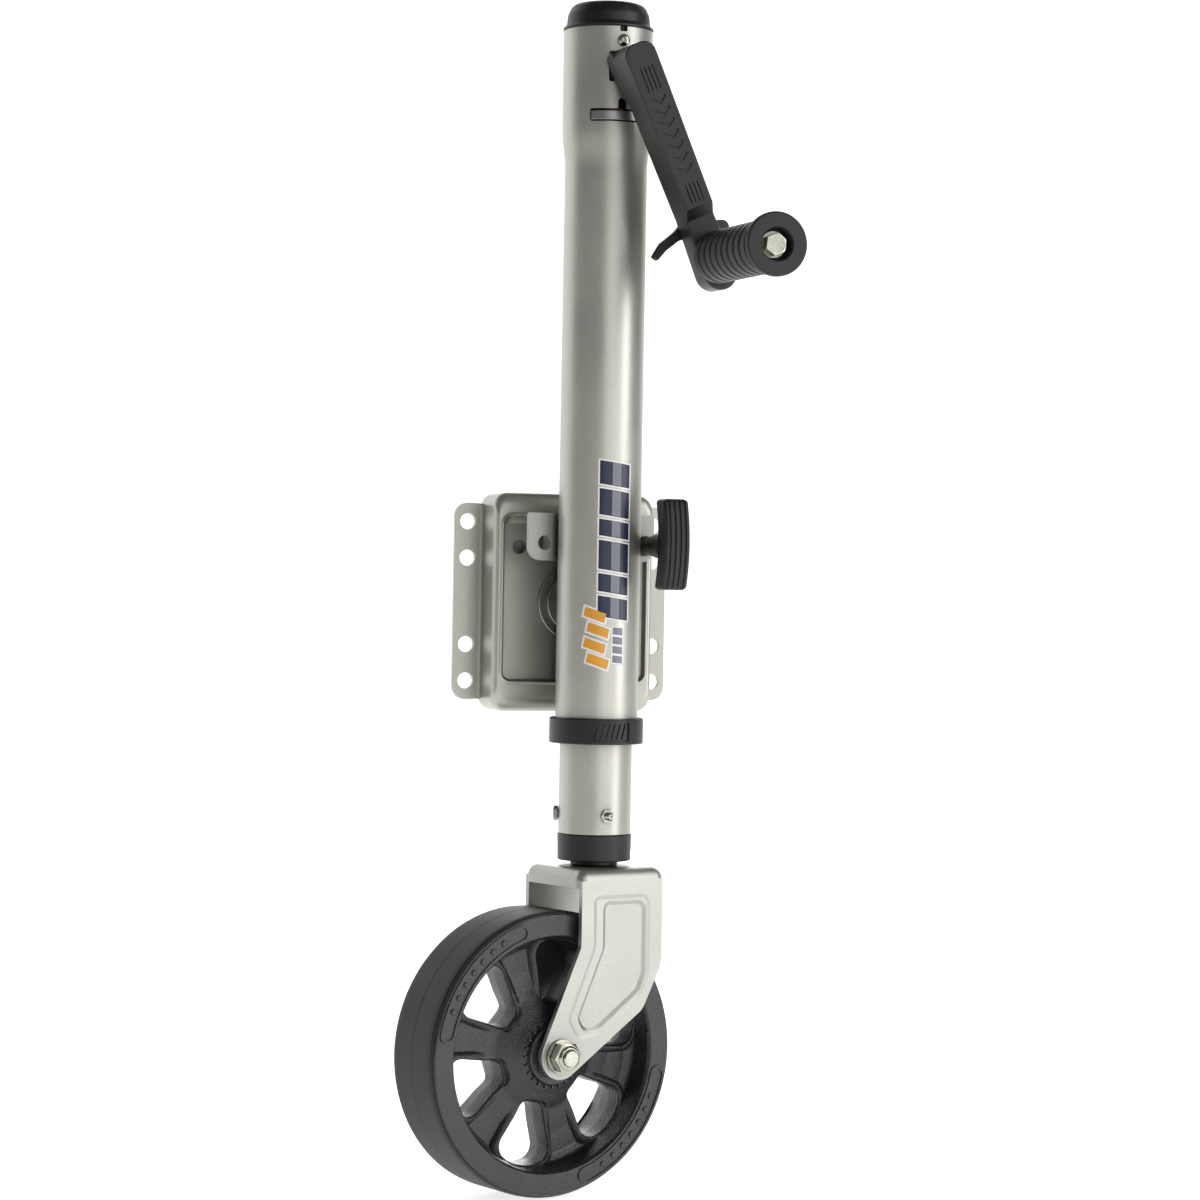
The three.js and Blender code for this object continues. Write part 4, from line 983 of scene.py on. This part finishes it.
def fork():
    """One pressing: a lid with a skirt round it, and two legs with dished panels."""
    bend = 8
    lid = []
    for k in range(8):
        a = math.radians(90 * k / 7)
        inset = bend * (1 - math.sin(a))
        lid.append((inset, FORK_TOP - bend * (1 - math.cos(a))))
    outer = [lid_loop(inset, z, max(1.5, 7 - inset * 0.6)) for inset, z in lid]
    outer.append([(x, y, FORK_TOP - 13.5) for x, y, z in outer[-1]])
    shell = loft(outer)
    inner_bend = bend - SHEET
    inner = []
    for k in range(6):
        a = math.radians(90 * k / 5)
        inset = SHEET + inner_bend * (1 - math.sin(a))
        inner.append(lid_loop(inset, FORK_TOP - SHEET - inner_bend * (1 - math.cos(a)), 3))
    inner.append([(x, y, FORK_TOP - 20) for x, y, z in inner[-1]])
    shell = cut(shell, loft(inner))
    for side in (-1, 1):
        near, far = sorted((side * FORK_Y, side * (FORK_Y - SHEET)))
        leg = slab([(x, min(z, FORK_TOP - bend)) for x, z in leg_outline()], near, far)
        shell = join(shell, leg)
    shell = soften(shell, 0.9, 3, 50)
    panel = fillet([(-24, -211, 5), (-23.4, -247, 12), (-45.4, -299, 9), (-36.4, -313, 9),
                    (-20.4, -311, 14), (18.6, -283, 10), (25, -270, 12), (25, -211, 7)], 6, closed=True)
    dish = fillet([(-15, -215.5, 5), (-15, -249, 12), (-36.6, -298, 7), (-31.6, -307.5, 7),
                   (-19, -306.6, 12), (16.6, -280.5, 9), (21.6, -268.5, 11), (21.6, -215.5, 7)],
                  6, closed=True)
    for side in (-1, 1):
        for outline, base, step in ((panel, 0, 0.6), (dish, 0.6, 1.7)):
            wall = ((1.2, base - 1.1), (1.0, base), (0.5, base + 0.1 * step),
                    (-0.7, base + 0.5 * step), (-1.8, base + 0.9 * step), (-2.4, base + step))
            rows = []
            for by, depth in wall:
                rows.append([(x, -side * (FORK_Y - depth), z) for x, z in grown(outline, by)])
            shell = cut(shell, loft(rows))
    shell = cut(shell, turned(rod(9.8, FORK_TOP - 10, FORK_TOP + 10), 48))
    return cut(shell, forward(rod(6.65, -50, 50), 40, -TRAIL, AXLE_Z))


def window_outline(grow):
    """One window between two spokes, about angle 0, in (x, z) from the axle."""
    inner, outer = 36 - grow, 80.5 + grow
    waist, middle, wide = 8.4 + grow, 13 + grow, 24.4 + grow
    corners = [(inner, -waist, 7.6), (inner + 13, -middle, 30), (outer - 7, -wide, 10.5),
               (outer + 1.2, -9, 26), (outer + 1.2, 9, 26),
               (outer - 7, wide, 10.5), (inner + 13, middle, 30), (inner, waist, 7.6)]
    return fillet(corners, 6, closed=True)


def window_solid(rows):
    """A body through the window's outline, grown by each row's first number at its second."""
    return loft([[(x, -g, z) for x, z in window_outline(by)] for by, g in rows])


def wheel_hub():
    """Moulded hub: rim channel, sloped spokes with rolled window edges, and a ribbed boss."""
    half = [(13.3, 0), (13.3, 29, .6), (21, 29, 1.2), (22.4, 25.5, 2), (29, 20.5, 4), (42, 12.2, 14),
            (60, 8.8, 20), (76, 8, 5), (81.2, 11, 5), (84.0, 25.2, 1.8), (85.8, 27.8, 1.4),
            (101.1, 27.8, 1.0), (101.2, 26.1), (94.7, 26.1)]
    back = [(c[0], -c[1], *c[2:]) for c in half]
    profile = back + half[1:][::-1]
    body = forward(profile, 160, 0, 0, 5)
    lip_rows = ((1.2, -12.8), (2.6, -12.4), (4.2, -11), (6.4, -7.5),
                (6.4, 7.5), (4.2, 11), (2.6, 12.4), (1.2, 12.8))
    opening_rows = ((4.0, -26), (1.3, -12.9), (0.4, -12.2), (0.0, -11), (-0.8, -1),
                    (-0.8, 1), (0.0, 11), (0.4, 12.2), (1.3, 12.9), (4.0, 26))
    turns = [Matrix.Rotation(math.radians(-(18 + 60 * k)), 4, "Y") for k in range(6)]
    for turn in turns:
        body = join(body, moved(window_solid(lip_rows), turn=turn))
    for turn in turns:
        body = cut(body, moved(window_solid(opening_rows), turn=turn))
    for side in (-1, 1):
        near, far = sorted((side * 20, side * 26.6))
        for k in range(24):
            turn = Matrix.Rotation(math.radians(15 * k), 4, "Y")
            body = join(body, moved(side_rib(near, far), turn=turn))
        near, far = sorted((side * 27, side * 28.8))
        for middle in (138, 318):
            body = join(body, rim_pad(middle, near, far))
            for k in range(7):
                turn = Matrix.Rotation(math.radians(-(middle - 19.5 + 6.5 * k)), 4, "Y")
                stud = forward(rod(2.3, near, far, 0.5), 28, 93.4)
                body = join(body, moved(stud, turn=turn))
    return body


def side_rib(near, far):
    return box(20.5, 24.4, near, far, -0.55, 0.55)


def rim_pad(middle, near, far):
    """The raised outline of a rounded pad on the rim band."""
    span, low, high = 30, 87.4, 99.4
    outer = pad_loop(middle, span, low, high)
    inner = pad_loop(middle, span - 0.8, low + 1.3, high - 1.3)
    return cut(slab(outer, near, far), slab(inner, near - 2, far + 2))


def pad_loop(middle, span, low, high):
    """A rounded band on the rim between two radii, to both sides of an angle in degrees."""
    radius = (high - low) / 2
    centre = (high + low) / 2
    line = []
    for r, sweep in ((high, (-span, span)), (low, (span, -span))):
        for k in range(25):
            a = math.radians(middle + sweep[0] + (sweep[1] - sweep[0]) * k / 24)
            line.append((r * math.cos(a), r * math.sin(a)))
        end = middle + sweep[1]
        e = math.radians(end)
        cx, cz = centre * math.cos(e), centre * math.sin(e)
        way = 1 if sweep[1] > 0 else -1
        for k in range(1, 8):
            t = math.radians(180 * k / 8)
            along = radius * math.sin(t) * way
            out = radius * math.cos(t) * way
            line.append((cx + out * math.cos(e) - along * math.sin(e),
                         cz + out * math.sin(e) + along * math.cos(e)))
    return line


def tyre():
    """A thin solid tyre with a fine parting line round its middle."""
    profile = [(95, -25.8), (101.8, -25.8, .6), (103, -23.6, 1.2), (103.3, -20, 3), (103.3, -0.5, .2),
               (103.15, -0.25), (103.15, 0.25), (103.3, 0.5, .2), (103.3, 20, 3), (103, 23.6, 1.2),
               (101.8, 25.8, .6), (95, 25.8)]
    return forward(profile, 200, 0, 0, 3)


def nyloc():
    body = moved(hex_head(20, 39.2, 46.8), turn=FORWARD)
    collar = forward([(0, 43.6), (9.0, 43.6), (9.0, 47.4, 1.6), (7.4, 48.6, .4), (0, 48.6)], 64)
    return cut(join(body, collar), forward(rod(6.65, 30, 60), 40))


def lay_caster():
    finish("fork_pressing", fork(), "caster", "bright_zinc", ZINC, "caster_fork", place=CASTER)
    washer = turned(ring(9.8, 17.2, -191.2, -187.9, .6), 96)
    finish("swivel_washer_moulded", washer, "caster", "black_plastic", BLACK, "swivel_washer", place=CASTER)
    stem = turned([(0, -199.5), (13, -199.5, 1), (14, -198, .5), (14, -195.8, .3), (9.5, -195.8),
                   (9.5, -111.9), (8, -111.9), (8, -109.5), (9.5, -109.5), (9.5, -105.4, .5), (0, -104)],
                  64)
    finish("caster_stem_turned", stem, "caster", "plain_steel", STEEL, "caster_stem", place=CASTER)
    bolt = join(forward([(0, -38.6), (6.35, -38.6), (6.35, 49.8, .3), (5.4, 50.6, .2), (0, 50.6)], 64),
                moved(hex_head(19, -44.6, -37.1), turn=FORWARD))
    finish("axle_bolt_forged", bolt, "caster", "bright_zinc", HARDWARE, "axle_bolt", place=WHEEL)
    finish("axle_nut_forged", nyloc(), "caster", "bright_zinc", HARDWARE, "axle_nut", place=WHEEL)
    flat = forward(ring(6.65, 12.5, 36.9, 38.9, .4), 72)
    finish("axle_washer_stamped", flat, "caster", "bright_zinc", HARDWARE, "axle_washer", place=WHEEL)
    finish("wheel_hub_moulded", wheel_hub(), "wheel", "wheel_plastic", HUB, "wheel_hub", place=WHEEL)
    finish("wheel_tyre", tyre(), "wheel", "tyre", TYRE, "tyre", place=WHEEL)
    for label, side in (("near", 1), ("far", -1)):
        low, high = sorted((side * 6, side * 29))
        bush = forward(ring(9.8, 13, low, high, .4), 64)
        finish(f"wheel_bush_{label}_turned", bush, "wheel", "bronze", BRONZE, f"wheel_bush_{label}",
               place=WHEEL)
        low, high = sorted((side * 29.3, side * 32.3))
        spacer = forward(ring(9.8, 15, low, high, .6), 64)
        finish(f"axle_spacer_{label}_turned", spacer, "caster", "nylon", NYLON, f"axle_spacer_{label}",
               place=WHEEL)


# ---------------------------------------------------------------- the scene

lay_camera()
lay_floor()
lay_lights()
lay_bracket()
lay_saddle()
lay_spring()
lay_tube()
lay_stripes()
lay_lift()
lay_crank()
lay_caster()

# the CAD nodes that stay, such as gears inside the head, take their slot's material
NODE_SLOTS = {part["node"]: part["material_slot"] for part in frame["record"]["subparts"]}
for name, node in frame["nodes"].items():
    look = SLOT_LOOKS[NODE_SLOTS[name]]
    if not node.material_slots:
        node.data.materials.append(look)
    for slot in node.material_slots:
        slot.material = look
